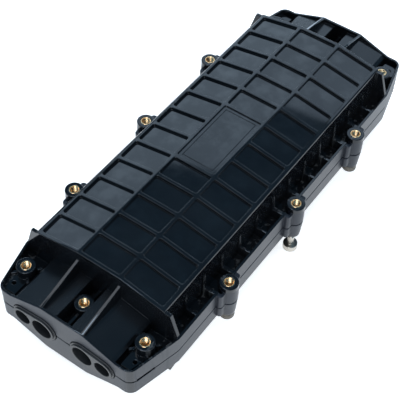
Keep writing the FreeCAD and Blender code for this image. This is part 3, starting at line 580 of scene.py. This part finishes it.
@dataclass(frozen=True)
class WebbingFinish(Finish):
    """Black woven strap: warp and weft over the strap's own UV map, in millimetres."""

    thread: float = 1.1
    deep: Colour = (0.010, 0.010, 0.011)
    pale: Colour = (0.040, 0.040, 0.042)
    contrast: Pair = (0.2, 0.9)
    roughness: Pair = (0.75, 0.95)
    depth: float = 0.18
    strength: float = 0.8
    fuzz: Noise = Noise(2.5, share=0.3)

    def inputs(self, place: Wire) -> Inputs:
        """Weave as the product of two sines, one along the strap and one across it, with fuzz over it.

        Args:
            place: Object coordinates, in metres.

        Returns:
            The shader's inputs.
        """
        graph = place.graph
        cloth = graph.node("UVMap", {})
        u, v, _ = cloth.axes()
        turns = math.tau / self.thread
        weave = graph.math("SINE", u * turns) * graph.math("SINE", v * turns) * 0.5 + 0.5
        fuzz = cloth.noise(self.fuzz)
        light = weave * (1 - self.fuzz.share) + fuzz * self.fuzz.share
        return {
            "Base Color": light.rise(*self.contrast).mix(self.deep, self.pale),
            "Roughness": fuzz.spread(*self.roughness),
            "Normal": weave.bump(self.depth, self.strength),
            "Specular IOR Level": 0.25,
        }


@dataclass(frozen=True)
class PlainFinish(Finish):
    """Plain values, by the names of the shader's sockets."""

    values: Inputs

    def inputs(self, place: Wire) -> Inputs:
        """The values as they are, which need no more nodes."""
        return self.values


# Pale matt floor with a faint glow, which keeps it white
FLOOR = PlainFinish({
    "Base Color": (0.86, 0.865, 0.87),
    "Roughness": 0.9,
    "Specular IOR Level": 0.1,
    "Emission Color": (0.97, 0.985, 1.0),
    "Emission Strength": 0.72,
})
STEEL = (0.62, 0.62, 0.62)
FINISHES: dict[Slot, tuple[str, Finish]] = {
    Slot.SHELL: ("black_moulding", ShellFinish()),
    Slot.SEAL: ("port_rubber", RubberFinish((0.012, 0.013, 0.015), (0.024, 0.025, 0.027), 0.42)),
    Slot.GASKET: ("gasket_cord", RubberFinish((0.014, 0.014, 0.015), (0.030, 0.030, 0.031), 0.70)),
    Slot.INSERT: ("turned_brass", MetalFinish((1.0, 0.70, 0.40), (0.84, 0.50, 0.24), 0.22)),
    Slot.BOLT: ("plated_bolt", BoltFinish()),
    Slot.BRACKET: ("bent_sheet", MetalFinish((0.72, 0.73, 0.74), (0.55, 0.56, 0.58), 0.32,
                                             grain=tool_marks((0.04, 1.0, 1.0)))),
    Slot.SCREW: ("plated_screw", MetalFinish(STEEL, (0.42, 0.42, 0.43), 0.26)),
    Slot.TRAY: ("tray_moulding", CloudedFinish((0.78, 0.78, 0.74), (0.70, 0.70, 0.66), 0.38)),
    Slot.HOLDER: ("holder_moulding", CloudedFinish((0.06, 0.17, 0.38), (0.04, 0.12, 0.28), 0.32)),
    Slot.LID: ("clear_sheet", ClearFinish()),
    Slot.STRAP: ("woven_strap", WebbingFinish()),
    Slot.ANCHOR: ("pressed_steel", MetalFinish(STEEL, (0.46, 0.47, 0.48), 0.34,
                                               grain=tool_marks((1.0, 0.06, 1.0)))),
    Slot.CLAMP: ("milled_brass", MetalFinish((0.80, 0.60, 0.26), (0.58, 0.40, 0.16), 0.28,
                                             grain=tool_marks((0.1, 1.0, 1.0)))),
}


# Surfaces worked out with numpy


def placed(name: str, data: Any) -> Object:
    """Put a new object into the scene.

    Args:
        name: Its name.
        data: Its mesh, lamp or camera.

    Returns:
        The object.
    """
    made = bpy.data.objects.new(name, data)
    bpy.context.scene.collection.objects.link(made)
    return made


@dataclass
class Surface:
    """Corners and faces of a mesh, as arrays."""

    points: np.ndarray
    quads: np.ndarray
    triangles: np.ndarray = field(default_factory=lambda: np.empty((0, 3), int))
    uv: np.ndarray | None = None

    def moved(self, offset: Triple) -> Surface:
        """The same surface shifted by an offset."""
        return Surface(self.points + np.asarray(offset), self.quads, self.triangles, self.uv)

    @staticmethod
    def joined(parts: list[Surface]) -> Surface:
        """One surface from several.

        Args:
            parts: Surfaces that all have a UV map, or all have none.

        Returns:
            All of them, with their faces renumbered.
        """
        starts = np.cumsum([0] + [len(part.points) for part in parts[:-1]])
        points = np.concatenate([part.points for part in parts])
        quads = np.concatenate([part.quads + start for part, start in zip(parts, starts)])
        triangles = np.concatenate([part.triangles + start for part, start in zip(parts, starts)])
        uv = None if parts[0].uv is None else np.concatenate([part.uv for part in parts])
        return Surface(points, quads, triangles, uv)

    def mesh_object(self, name: str, smooth: float = 35.0) -> Object:
        """Put the surface into a new object at the origin.

        Args:
            name: The object's name.
            smooth: Edges sharper than this angle in degrees stay sharp.

        Returns:
            The object, in the scene.
        """
        mesh = bpy.data.meshes.new(name)
        mesh.from_pydata(self.points.tolist(), [], self.quads.tolist() + self.triangles.tolist())
        if self.uv is not None:
            corners = np.empty(len(mesh.loops), np.int32)
            mesh.loops.foreach_get("vertex_index", corners)
            layer = mesh.uv_layers.new(name="UVMap")
            layer.data.foreach_set("uv", self.uv[corners].astype(np.float32).ravel())
        mesh.shade_smooth()
        mesh.set_sharp_from_angle(angle=math.radians(smooth))
        mesh.update()
        return placed(name, mesh)


def grid_quads(rows: int, columns: int, ring: bool) -> np.ndarray:
    """Faces of a grid whose columns run round and close.

    Args:
        rows: Number of rows.
        columns: Corners in each row.
        ring: True if the last row joins the first.

    Returns:
        Corner numbers, four for each face.
    """
    last = rows if ring else rows - 1
    row, column = np.meshgrid(np.arange(last), np.arange(columns), indexing="ij")
    row, column = row.ravel(), column.ravel()
    above, beside = (row + 1) % rows, (column + 1) % columns
    return np.stack([row * columns + column, row * columns + beside,
                     above * columns + beside, above * columns + column], axis=1)


def turned_points(section: list[tuple[Any, Any]], columns: int) -> np.ndarray:
    """Corners of a turned shape, row by row.

    Each entry of the section gives one or more rows: a radius and a height, as numbers or as arrays with a
    row for each level and a column for each angle. At angle a it is (radius cos a, radius sin a, height).

    Args:
        section: Radii and heights, in order along the section.
        columns: Number of angles.

    Returns:
        The corners, rows by angles by x, y and z.
    """
    angle = np.arange(columns) * math.tau / columns
    levels = [np.broadcast_arrays(*np.atleast_2d(radius, height), angle) for radius, height in section]
    radius = np.concatenate([level[0] for level in levels])
    height = np.concatenate([level[1] for level in levels])
    return np.stack([radius * np.cos(angle), radius * np.sin(angle), height], axis=-1)


def turned_bar(section: list[tuple[Any, Any]], columns: int) -> Surface:
    """Turned body without a bore, closed by a point in the middle of its first and last rows.

    Args:
        section: Radii and heights in millimetres, from bottom to top along the outside.
        columns: Number of angles.

    Returns:
        The closed surface, in metres.
    """
    grid = turned_points(section, columns) * MM
    count, around = len(grid) * columns, np.arange(columns)
    beside, start = (around + 1) % columns, count - columns
    middles = grid[[0, -1]].mean(axis=1) * (0.0, 0.0, 1.0)
    bottom = np.stack([np.full(columns, count), beside, around], axis=1)
    top = np.stack([np.full(columns, count + 1), start + around, start + beside], axis=1)
    points = np.concatenate([grid.reshape(-1, 3), middles])
    return Surface(points, grid_quads(len(grid), columns, False), np.concatenate([bottom, top]))


def triangle_wave(turns: np.ndarray) -> np.ndarray:
    """Wave from -1 to 1 that rises and falls in straight lines, once for each turn."""
    return 4.0 * np.abs(turns - np.floor(turns + 0.5)) - 1.0


def soft_step(value: np.ndarray, low: float, high: float) -> np.ndarray:
    """Smooth step from 0 at low to 1 at high."""
    share = np.clip((value - low) / (high - low), 0.0, 1.0)
    return share * share * (3.0 - 2.0 * share)


@dataclass(frozen=True)
class Easing:
    """How far the sharp edges of a piece are eased, in metres.

    Edges that point outward take the usual width and those in corners a smaller share of it. Long edges that
    run along x at a given distance from the middle take a broad width between two points near their ends.
    """

    width: float
    corner: float = 0.4
    angle: float = 28.0
    broad: float = 0.0
    broad_line: float = 0.0
    line_margin: float = 0.1 * MM
    run_out: float = 4.0 * MM
    broad_from: float = 12.0 * MM
    gentle_turn: float = 0.8
    least_turn: float = 0.001
    curve_share: float = 0.6
    side_share: float = 0.45
    least_share: float = 0.1

    @property
    def widest(self) -> float:
        """Width of the broadest eased edge, in metres."""
        return max(self.width, self.broad)

    def is_broad(self, edge: BMEdge) -> bool:
        """Tell whether an edge is one of the broad ones, which have room for their ends to run out.

        Args:
            edge: An edge of the mesh.

        Returns:
            True where it lies on the broad line and is long enough.
        """
        first, last = (corner.co for corner in edge.verts)
        length = abs(first.x - last.x)
        on_line = all(abs(abs(point.y) - self.broad_line) < self.line_margin for point in (first, last))
        return self.broad > 0.0 and on_line and edge.is_convex and length > self.broad_from

    def room(self, edge: BMEdge, sharp: set[BMEdge]) -> float:
        """Width that an edge takes, as far as it has room.

        A neighbour that leads away leaves less than half of its length. A neighbour that carries on a curved
        run leaves less than the run's radius, which is the edge's length over the angle that it turns by.

        Args:
            edge: A sharp edge.
            sharp: All the sharp edges.

        Returns:
            The width of its kind, or less, in metres.
        """
        width = self.width if edge.is_convex else self.corner * self.width
        if self.is_broad(edge):
            width = self.broad
        for corner in edge.verts:
            run = edge.other_vert(corner).co - corner.co
            for other in (near for near in corner.link_edges if near is not edge):
                reach = other.other_vert(corner).co - corner.co
                turn = math.pi - run.angle(reach, 0.0)
                if other in sharp and turn < self.gentle_turn:
                    width = min(width, self.curve_share * run.length / max(turn, self.least_turn))
                else:
                    width = min(width, self.side_share * reach.length)
        return width

    def weigh(self, shape: BMesh) -> None:
        """Weigh the edges of a mesh by the width that each takes, as a share of the widest.

        The broad edges are split first, where their ends run out.

        Args:
            shape: The mesh, with its doubles merged.
        """
        for edge in [edge for edge in shape.edges if self.is_broad(edge)]:
            rest, _ = bmesh.utils.edge_split(edge, edge.verts[0], self.run_out / edge.calc_length())
            long = max((rest, edge), key=lambda part: part.calc_length())
            bmesh.utils.edge_split(long, long.verts[1], self.run_out / long.calc_length())
        weight = shape.edges.layers.float.new("bevel_weight_edge")
        sharp = {edge for edge in shape.edges if edge.calc_face_angle(0.0) > math.radians(self.angle)}
        for edge in sharp:
            room = self.room(edge, sharp)
            edge[weight] = room / self.widest if room > self.least_share * self.width else 0.0


# Sub-assemblies


@dataclass
class Workshop:
    """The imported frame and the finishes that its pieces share."""

    nodes: dict[str, Object]
    finishes: dict[Slot, Material]
    merge_distance: float = 0.02 * MM
    flat_angle: float = 0.6
    bevel_segments: int = 3

    def dress(self, piece: Object, slot: Slot) -> None:
        """Give a piece one finish.

        Args:
            piece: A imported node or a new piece.
            slot: The slot whose finish it takes.
        """
        piece.data.materials.clear()
        piece.data.materials.append(self.finishes[slot])
        LOG.info("%s wears %s", piece.name, slot.value)

    def dress_nodes(self, names: list[str], slot: Slot) -> None:
        """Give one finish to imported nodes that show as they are."""
        for name in names:
            self.dress(self.nodes[name], slot)

    def stand_for(self, piece: Object, node: str, slot: Slot, body: Body = Body.BASE) -> None:
        """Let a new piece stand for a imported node.

        Args:
            piece: The new piece.
            node: The node that it hides.
            slot: The slot whose finish it takes.
            body: The body that it rides on.
        """
        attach(piece, body.value)
        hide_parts(node)
        self.dress(piece, slot)

    def eased(self, node: str, easing: Easing, slot: Slot, body: Body = Body.BASE) -> None:
        """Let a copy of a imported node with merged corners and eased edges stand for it.

        The copy leaves out the node's UVs and its own normals, which don't suit its new faces.

        Args:
            node: The node to copy and hide.
            easing: How far its edges are eased.
            slot: The slot whose finish it takes.
            body: The body that it rides on.
        """
        mesh = self.nodes[node].data.copy()
        mesh.name = node + "_eased"
        shape = bmesh.new()
        shape.from_mesh(mesh)
        bmesh.ops.remove_doubles(shape, verts=shape.verts, dist=self.merge_distance)
        bmesh.ops.dissolve_limit(shape, angle_limit=math.radians(self.flat_angle),
                                 verts=shape.verts, edges=shape.edges)
        easing.weigh(shape)
        shape.to_mesh(mesh)
        shape.free()
        for name in [layer.name for layer in mesh.uv_layers]:
            mesh.uv_layers.remove(mesh.uv_layers[name])
        if "custom_normal" in mesh.attributes:
            mesh.attributes.remove(mesh.attributes["custom_normal"])
        mesh.shade_smooth()
        mesh.set_sharp_from_angle(angle=math.radians(easing.angle))
        piece = placed(mesh.name, mesh)
        bevel = piece.modifiers.new("eased_edges", "BEVEL")
        bevel.width = easing.widest
        bevel.segments = self.bevel_segments
        bevel.limit_method = "WEIGHT"
        bevel.use_clamp_overlap = False
        bevel.harden_normals = True
        self.stand_for(piece, node, slot, body)


@dataclass
class HalfShells:
    """The two moulded half shells, the seals in their ends and the gaskets between them."""

    shop: Workshop
    shell: Easing = Easing(0.65 * MM, corner=0.34, broad=1.5 * MM, broad_line=58.7 * MM)
    seal: Easing = Easing(0.35 * MM)

    def build(self) -> None:
        """Ease the shells and the port seals, and dress the gaskets."""
        self.shop.eased("upper_shell", self.shell, Slot.SHELL, Body.COVER)
        self.shop.eased("lower_shell", self.shell, Slot.SHELL)
        for corner in CORNERS:
            self.shop.eased(f"port_seal_{corner}", self.seal, Slot.SEAL)
        self.shop.dress_nodes(["gasket_left", "gasket_right", "gasket_front", "gasket_back"], Slot.GASKET)


@dataclass
class Fasteners:
    """Bolts with cut threads and round socket heads, and the brass inserts that they screw into.

    Small edges of both share three sizes: edge, chamfer and step.
    """

    shop: Workshop
    columns: int = 60
    side_step: float = 92.0
    end_place: float = 168.8
    corner_line: float = 55.2
    loose_drop: float = 14.5
    pitch: float = 1.0
    edge: float = 0.2
    chamfer: float = 0.3
    step: float = 0.5

    insert_top: float = 64.0
    insert_radius: float = 4.25
    insert_length: float = 15.5
    insert_inset: float = 0.02
    insert_collar: float = 2.0
    insert_knurl: float = 0.10
    crest: float = 2.80
    root: float = 3.35
    mouth: float = 0.35
    mouth_depth: float = 0.45
    fade_from: float = 1.2
    foot_edge: float = 0.4
    bore_rows: int = 110
    knurl_rows: int = 8

    shank: float = 2.7
    shank_rows: int = 150
    thread_depth: float = 0.5
    thread_length: float = 19.0
    tip_height: float = 55.0
    tip_edge: float = 0.6
    head_radius: float = 6.0
    head_land: float = 0.1
    head_knurl: float = 0.12
    crown_inset: float = 0.05
    socket_flats: float = 5.0
    socket_depth: float = 3.0
    socket_edge: float = 0.25

    def places(self) -> np.ndarray:
        """Places of the bolts: rows along the sides and across the ends.

        Returns:
            Their x and y in millimetres, with the backed-out bolt first.
        """
        steps, lines = (0.0, -self.side_step, self.side_step), (0.0, -self.corner_line, self.corner_line)
        side = [(x, y) for y in (-BOLT_LINE, BOLT_LINE) for x in steps]
        end = [(x, y) for x in (-self.end_place, self.end_place) for y in lines]
        return np.array(side + end)

    def knurl(self, depth: float) -> np.ndarray:
        """Depth of straight knurls at each angle: a sine without its sign, two columns for each knurl."""
        return depth * np.abs(np.sin(np.arange(self.columns) * math.pi / 2))

    def insert(self) -> Surface:
        """Threaded sleeve: its section runs up the threaded bore, over the top and down the knurled outside.

        The bore's radius swings between crest and root in straight flanks, one turn for each pitch of height,
        and the thread fades out at both ends. The outside is knurled below a plain collar.

        Returns:
            The sleeve's surface around the z axis, in metres.
        """
        low, high = self.insert_top - self.insert_length, self.insert_top
        bottom, face = low + self.chamfer, high - self.insert_inset
        bore = np.linspace(bottom, high - self.mouth_depth, self.bore_rows)[:, None]
        start, stop = high - self.fade_from, high - self.step
        fade = soft_step(bore, bottom, bottom + self.pitch) * (1 - soft_step(bore, start, stop))
        wave = triangle_wave(bore / self.pitch - np.arange(self.columns) / self.columns)
        thread = self.root - (self.root - self.crest) / 2 * (1 - wave) * fade
        outer = self.insert_radius - self.insert_inset
        outside = np.linspace(high - self.insert_collar, low + self.step, self.knurl_rows)[:, None]
        section = [
            (thread, bore), (self.root + self.mouth, face),
            (outer - self.edge, face), (outer, face - self.edge),
            (outer - self.knurl(self.insert_knurl), outside),
            (self.insert_radius - self.foot_edge, low), (self.root + self.chamfer, low),
        ]
        grid = turned_points(section, self.columns) * MM
        return Surface(grid.reshape(-1, 3), grid_quads(len(grid), self.columns, True)[:, ::-1])

    def bolt(self) -> Surface:
        """Bolt from the floor of its socket, over the head and up the threaded shank to its tip.

        The socket's outline is half the flats over the cosine of the angle to the nearest flat. The head's
        side is knurled between two plain lands. The shank's radius swings between crest and root in straight
        flanks.

        Returns:
            The seated bolt's surface around the z axis, in metres.
        """
        angle = np.arange(self.columns) * math.tau / self.columns
        socket = self.socket_flats / 2 / np.cos((angle % (math.pi / 3)) - math.pi / 6)
        low, seat = BOLT_SEAT - HEAD_HEIGHT, BOLT_SEAT
        floor = low + self.socket_depth
        land = self.head_radius - self.head_land
        knurl = self.head_radius - self.knurl(self.head_knurl)
        crown = self.head_radius - self.crown_inset
        knurl_low = low + self.step
        knurl_high = seat - self.step - self.edge
        shank_to = self.tip_height - self.tip_edge
        shank = np.linspace(seat + self.step, shank_to, self.shank_rows)[:, None]
        thread_from = self.tip_height - self.thread_length
        cut = self.thread_depth / 2 * soft_step(shank, thread_from, thread_from + self.pitch)
        thread = self.shank - cut * (1 + triangle_wave(shank / self.pitch - angle / math.tau))
        return turned_bar([
            (self.socket_flats / 4, floor), (socket, floor),
            (socket, low + self.chamfer), (socket + self.socket_edge, low),
            (land - self.step, low), (land, knurl_low),
            (knurl, knurl_low + self.edge), (knurl, knurl_high - self.edge), (land, knurl_high),
            (crown, seat - self.chamfer), (crown - self.chamfer, seat), (self.shank + self.chamfer, seat),
            (thread, shank),
            (self.shank - self.tip_edge, self.tip_height), (self.shank / 2, self.tip_height),
        ], self.columns)

    def build(self) -> None:
        """Make the inserts, the seated bolts and the backed-out bolt, and dress them."""
        spots = [(x * MM, y * MM, 0.0) for x, y in self.places()]
        insert, bolt = self.insert(), self.bolt()
        inserts = Surface.joined([insert.moved(spot) for spot in spots]).mesh_object("inserts_threaded")
        self.shop.stand_for(inserts, "threaded_inserts", Slot.INSERT, Body.COVER)
        seated = Surface.joined([bolt.moved(spot) for spot in spots[1:]]).mesh_object("bolts_threaded")
        self.shop.stand_for(seated, "shell_bolts", Slot.BOLT)
        x, y, _ = spots[0]
        loose = bolt.moved((x, y, -self.loose_drop * MM)).mesh_object("bolt_backed_out")
        self.shop.stand_for(loose, "backed_out_bolt", Slot.BOLT)


@dataclass
class TrayStack:
    """Bracket, hinged splice trays with their holders, the clear lid and the strap around them."""

    shop: Workshop
    trays: int = 4
    edge: Easing = Easing(0.3 * MM)
    strap_from: float = -40.0
    strap_width: float = 20.0
    strap_half: float = 43.8
    strap_low: float = 17.2
    strap_high: float = 59.8
    strap_sheet: float = 1.0
    strap_corner: float = 2.6
    strap_smooth: float = 60.0
    edge_power: int = 8
    section_points: int = 15
    loop_points: int = 220
    tail: float = 44.0
    tail_points: int = 40
    tail_inset: float = 0.8
    tail_lift: float = 1.02
    tail_dip: float = 0.25
    dip_from: float = 18.0

    def loop(self) -> tuple[np.ndarray, np.ndarray]:
        """Middle line of the strap: a rectangle with round corners, in evenly spaced steps.

        A point at a distance along the line lies on the side or the corner arc that the distance falls in.

        Returns:
            The points' y and z, and their outward normals.
        """
        radius = self.strap_corner
        flat = 2 * (self.strap_half - radius)
        rise = self.strap_high - self.strap_low - 2 * radius
        arc = math.pi / 2 * radius
        ends = np.cumsum([0, flat, arc, rise, arc, flat, arc, rise, arc])
        along = np.linspace(0, ends[-1], self.loop_points, endpoint=False)
        part = np.searchsorted(ends, along, side="right") - 1
        on_arc = part % 2 == 1
        side = part // 2
        heading = side * math.pi / 2 + np.where(on_arc, (along - ends[part]) / radius, 0.0)
        low, high = self.strap_low + radius, self.strap_high - radius
        centres = np.array([(flat / 2, low), (flat / 2, high), (-flat / 2, high), (-flat / 2, low)])
        normal = np.stack([np.sin(heading), -np.cos(heading)], axis=1)
        tangent = np.stack([np.cos(heading), np.sin(heading)], axis=1)
        back = np.where(on_arc, 0.0, ends[part + 1] - along)
        return centres[side] + normal * radius - tangent * back[:, None], normal

    def band(self, line: np.ndarray, normal: np.ndarray, inset: float, closed: bool) -> Surface:
        """Flat webbing carried along a line in the YZ plane, with rounded edges.

        The section is a flat oval: its thickness falls off with a high power of the distance from its middle.

        Args:
            line: Points of the middle line, y and z in millimetres.
            normal: Outward normals there.
            inset: How far each edge of the band lies in from the strap's edge, in millimetres.
            closed: True if the band joins its own start.

        Returns:
            The band's surface, with a UV map in millimetres.
        """
        share = np.linspace(-1, 1, self.section_points)
        thick = self.strap_sheet / 2 * (1 - share ** self.edge_power)
        across = np.concatenate([share, share[::-1][1:-1]]) * (self.strap_width / 2 - inset)
        lift = np.concatenate([thick, -thick[::-1][1:-1]])
        x = np.broadcast_to(self.strap_from + self.strap_width / 2 + across, (len(line), len(across)))
        yz = line[:, None, :] + normal[:, None, :] * lift[None, :, None]
        points = np.concatenate([x[..., None], yz], axis=2)
        steps = np.linalg.norm(np.diff(line, axis=0, prepend=line[:1]), axis=1).cumsum()
        uv = np.stack(np.broadcast_arrays(steps[:, None], across[None, :]), axis=2)
        quads = grid_quads(len(line), len(across), closed)[:, ::-1]
        made = Surface(points.reshape(-1, 3) * MM, quads, uv=uv.reshape(-1, 2))
        if not closed:
            first = np.arange(1, len(share) - 1)
            other = len(across) - first
            pairs = np.stack([first[:-1], first[1:], other[1:], other[:-1]], axis=1)
            tips = np.array([[0, 1, len(across) - 1], [len(share) - 1, len(share), len(share) - 2]])
            shift = (len(line) - 1) * len(across)
            made.quads = np.concatenate([quads, pairs, pairs[:, ::-1] + shift])
            made.triangles = np.concatenate([tips, tips[:, ::-1] + shift])
        return made

    def strap(self) -> Surface:
        """Closed loop of webbing, and its tail laid over it on top of the stack, which dips at its ends.

        Returns:
            The strap's surface.
        """
        line, normal = self.loop()
        end = self.tail / 2
        tail_y = np.linspace(end, -end, self.tail_points)
        dip = self.tail_dip * soft_step(np.abs(tail_y), self.dip_from, end)
        tail_line = np.stack([tail_y, self.strap_high + self.strap_sheet * (self.tail_lift - dip)], axis=1)
        tail_normal = np.broadcast_to(np.array([0.0, 1.0]), tail_line.shape)
        tail = self.band(tail_line, tail_normal, self.tail_inset, closed=False)
        return Surface.joined([self.band(line, normal, 0.0, closed=True), tail])

    def build(self) -> None:
        """Dress the stack and make its strap."""
        shop = self.shop
        shop.eased("tray_bracket", self.edge, Slot.BRACKET)
        shop.dress_nodes(["bracket_screws", "tray_hinge_pins"], Slot.SCREW)
        for index in range(1, self.trays + 1):
            shop.eased(f"splice_tray_{index}", self.edge, Slot.TRAY)
            shop.dress_nodes([f"splice_holder_{index}"], Slot.HOLDER)
        shop.dress_nodes(["tray_lid"], Slot.LID)
        strap = self.strap().mesh_object("strap_woven", self.strap_smooth)
        shop.stand_for(strap, "tray_strap", Slot.STRAP)


@dataclass
class CableAnchors:
    """Anchor plates behind the ports, with their clamps and screws."""

    shop: Workshop
    edge: Easing = Easing(0.25 * MM)

    def build(self) -> None:
        """Ease and dress the anchors, clamps and screws."""
        for corner in CORNERS:
            self.shop.eased(f"cable_anchor_{corner}", self.edge, Slot.ANCHOR)
            self.shop.eased(f"strength_clamp_{corner}", self.edge, Slot.CLAMP)
        self.shop.dress_nodes(["anchor_screws", "clamp_screws"], Slot.SCREW)


# Studio, with places and sizes in metres


@dataclass(frozen=True)
class Softbox:
    """A rectangular lamp that faces a point, or hangs face down if it has none.

    One that isn't mirrored shows in no reflection, and one that doesn't light shows only in reflections.
    """

    name: str
    place: Triple
    size: Pair
    power: float
    colour: Colour = (1.0, 1.0, 1.0)
    target: Triple | None = None
    turn: float = 0.0
    mirrored: bool = True
    lights: bool = True

    def build(self) -> None:
        """Hang the lamp."""
        lamp = bpy.data.lights.new(self.name, "AREA")
        lamp.shape = "RECTANGLE"
        lamp.size, lamp.size_y = self.size
        lamp.energy = self.power
        lamp.color = self.colour
        hung = placed(self.name, lamp)
        hung.location = self.place
        target = (*self.place[:2], 0.0) if self.target is None else self.target
        facing = (Vector(target) - Vector(self.place)).to_track_quat("-Z", "Y").to_matrix()
        hung.rotation_euler = (facing @ Matrix.Rotation(math.radians(self.turn), 3, "Z")).to_euler()
        hung.visible_glossy = self.mirrored
        hung.visible_diffuse = self.lights


# The key lamps show in the deck, the strips and the backdrop in its ribs and fins, and the fills add light
COOL = (0.86, 1.03, 1.20)
MIDDLE = (0.0, 0.0, 0.0)
KEY_TURN = 23.6
LAMPS = (
    Softbox("key", (1.369, 0.727, 1.0), (1.60, 1.61), 11.0, COOL, turn=KEY_TURN),
    Softbox("key_far", (1.327, 1.010, 1.0), (1.45, 1.06), 2.9, COOL, turn=KEY_TURN),
    Softbox("strip", (-0.15, 0.47, 2.2), (1.2, 0.3), 10.0, COOL, lights=False),
    Softbox("fin_strip", (-0.25, 1.06, 2.2), (0.9, 0.84), 5.4, lights=False),
    Softbox("backdrop", (2.5, 1.66, 0.89), (4.4, 0.3), 20.0, COOL, (0.0, 0.0, 0.4), lights=False),
    Softbox("near_fill", (-1.7, -0.5, 1.0), (1.4, 1.4), 16.0, target=MIDDLE),
    Softbox("right_fill", (0.4, -1.9, 1.1), (1.8, 1.2), 16.0, target=MIDDLE, mirrored=False),
    Softbox("top_fill", (-0.5, -0.2, 2.6), (1.0, 1.0), 26.0, target=MIDDLE, mirrored=False),
)


@dataclass
class Studio:
    """Pale floor, soft lamps and the camera at the photograph's angle.

    The focal length is in pixels of a square picture of the frame's size.
    """

    azimuth: float = -56.00
    elevation: float = 50.88
    roll: float = 2.03
    distance: float = 0.7643
    focal: float = 1025.6
    frame: float = 400.0
    target: Triple = (-0.05957, -0.02346, 0.090)
    clip: Pair = (0.01, 50.0)
    world: Colour = (0.086, 0.200, 0.308)
    floor_height: float = -0.0002
    floor_hub: float = 0.0005
    floor_middle: float = 1.0
    floor_reach: float = 4.5
    floor_bend: float = 0.5
    floor_smooth: float = 60.0
    floor_columns: int = 96
    bend_rows: int = 16

    def camera(self) -> None:
        """Stand the camera where the photograph was taken from."""
        turn, lift, roll = (math.radians(a) for a in (self.azimuth, self.elevation, self.roll))
        back = Vector((math.sin(turn) * math.cos(lift), -math.cos(turn) * math.cos(lift), math.sin(lift)))
        right = (-back).cross(Vector((0, 0, 1))).normalized()
        up = right.cross(-back)
        across = right * math.cos(roll) + up * math.sin(roll)
        upward = up * math.cos(roll) - right * math.sin(roll)
        data = bpy.data.cameras.new("camera")
        data.lens = self.focal * data.sensor_width / self.frame
        data.clip_start, data.clip_end = self.clip
        stand = placed("camera", data)
        facing = Matrix((across, upward, back)).transposed().to_4x4()
        stand.matrix_world = Matrix.Translation(Vector(self.target) + back * self.distance) @ facing
        bpy.context.scene.camera = stand

    def floor(self) -> None:
        """Lay the pale floor under the closure: a disc that bends up into a low wall far away.

        The bend is a quarter circle: its radius grows with the sine of the turn, its height with 1 - cosine.
        """
        turn = np.linspace(0.0, math.pi / 2, self.bend_rows)[:, None]
        bend = (self.floor_reach + self.floor_bend * np.sin(turn), self.floor_bend * (1 - np.cos(turn)))
        grid = turned_points([(self.floor_hub, 0.0), (self.floor_middle, 0.0), bend], self.floor_columns)
        quads = grid_quads(len(grid), self.floor_columns, False)[:, ::-1]
        laid = Surface(grid.reshape(-1, 3), quads).moved((0.0, 0.0, self.floor_height))
        piece = laid.mesh_object("floor", self.floor_smooth)
        piece.data.materials.append(FLOOR.material("floor_pale"))

    def light(self) -> None:
        """Hang the lamps and colour the world."""
        for lamp in LAMPS:
            lamp.build()
        world = bpy.data.worlds.new("studio")
        world.use_nodes = True
        background = world.node_tree.nodes["Background"]
        background.inputs["Color"].default_value = (*self.world, 1.0)
        background.inputs["Strength"].default_value = 1.0
        bpy.context.scene.world = world

    def build(self) -> None:
        """Set up the whole studio."""
        self.floor()
        self.light()
        self.camera()
        bpy.context.scene.view_settings.view_transform = "Standard"


def main() -> None:
    """Load the frame, build each sub-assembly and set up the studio."""
    logging.basicConfig(level=logging.INFO, format="%(name)s: %(message)s")
    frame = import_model()
    finishes = {slot: finish.material(name) for slot, (name, finish) in FINISHES.items()}
    shop = Workshop(frame["nodes"], finishes)
    for assembly in (HalfShells(shop), Fasteners(shop), TrayStack(shop), CableAnchors(shop)):
        LOG.info("building %s", type(assembly).__name__)
        assembly.build()
    Studio().build()


if __name__ == "__main__":
    main()
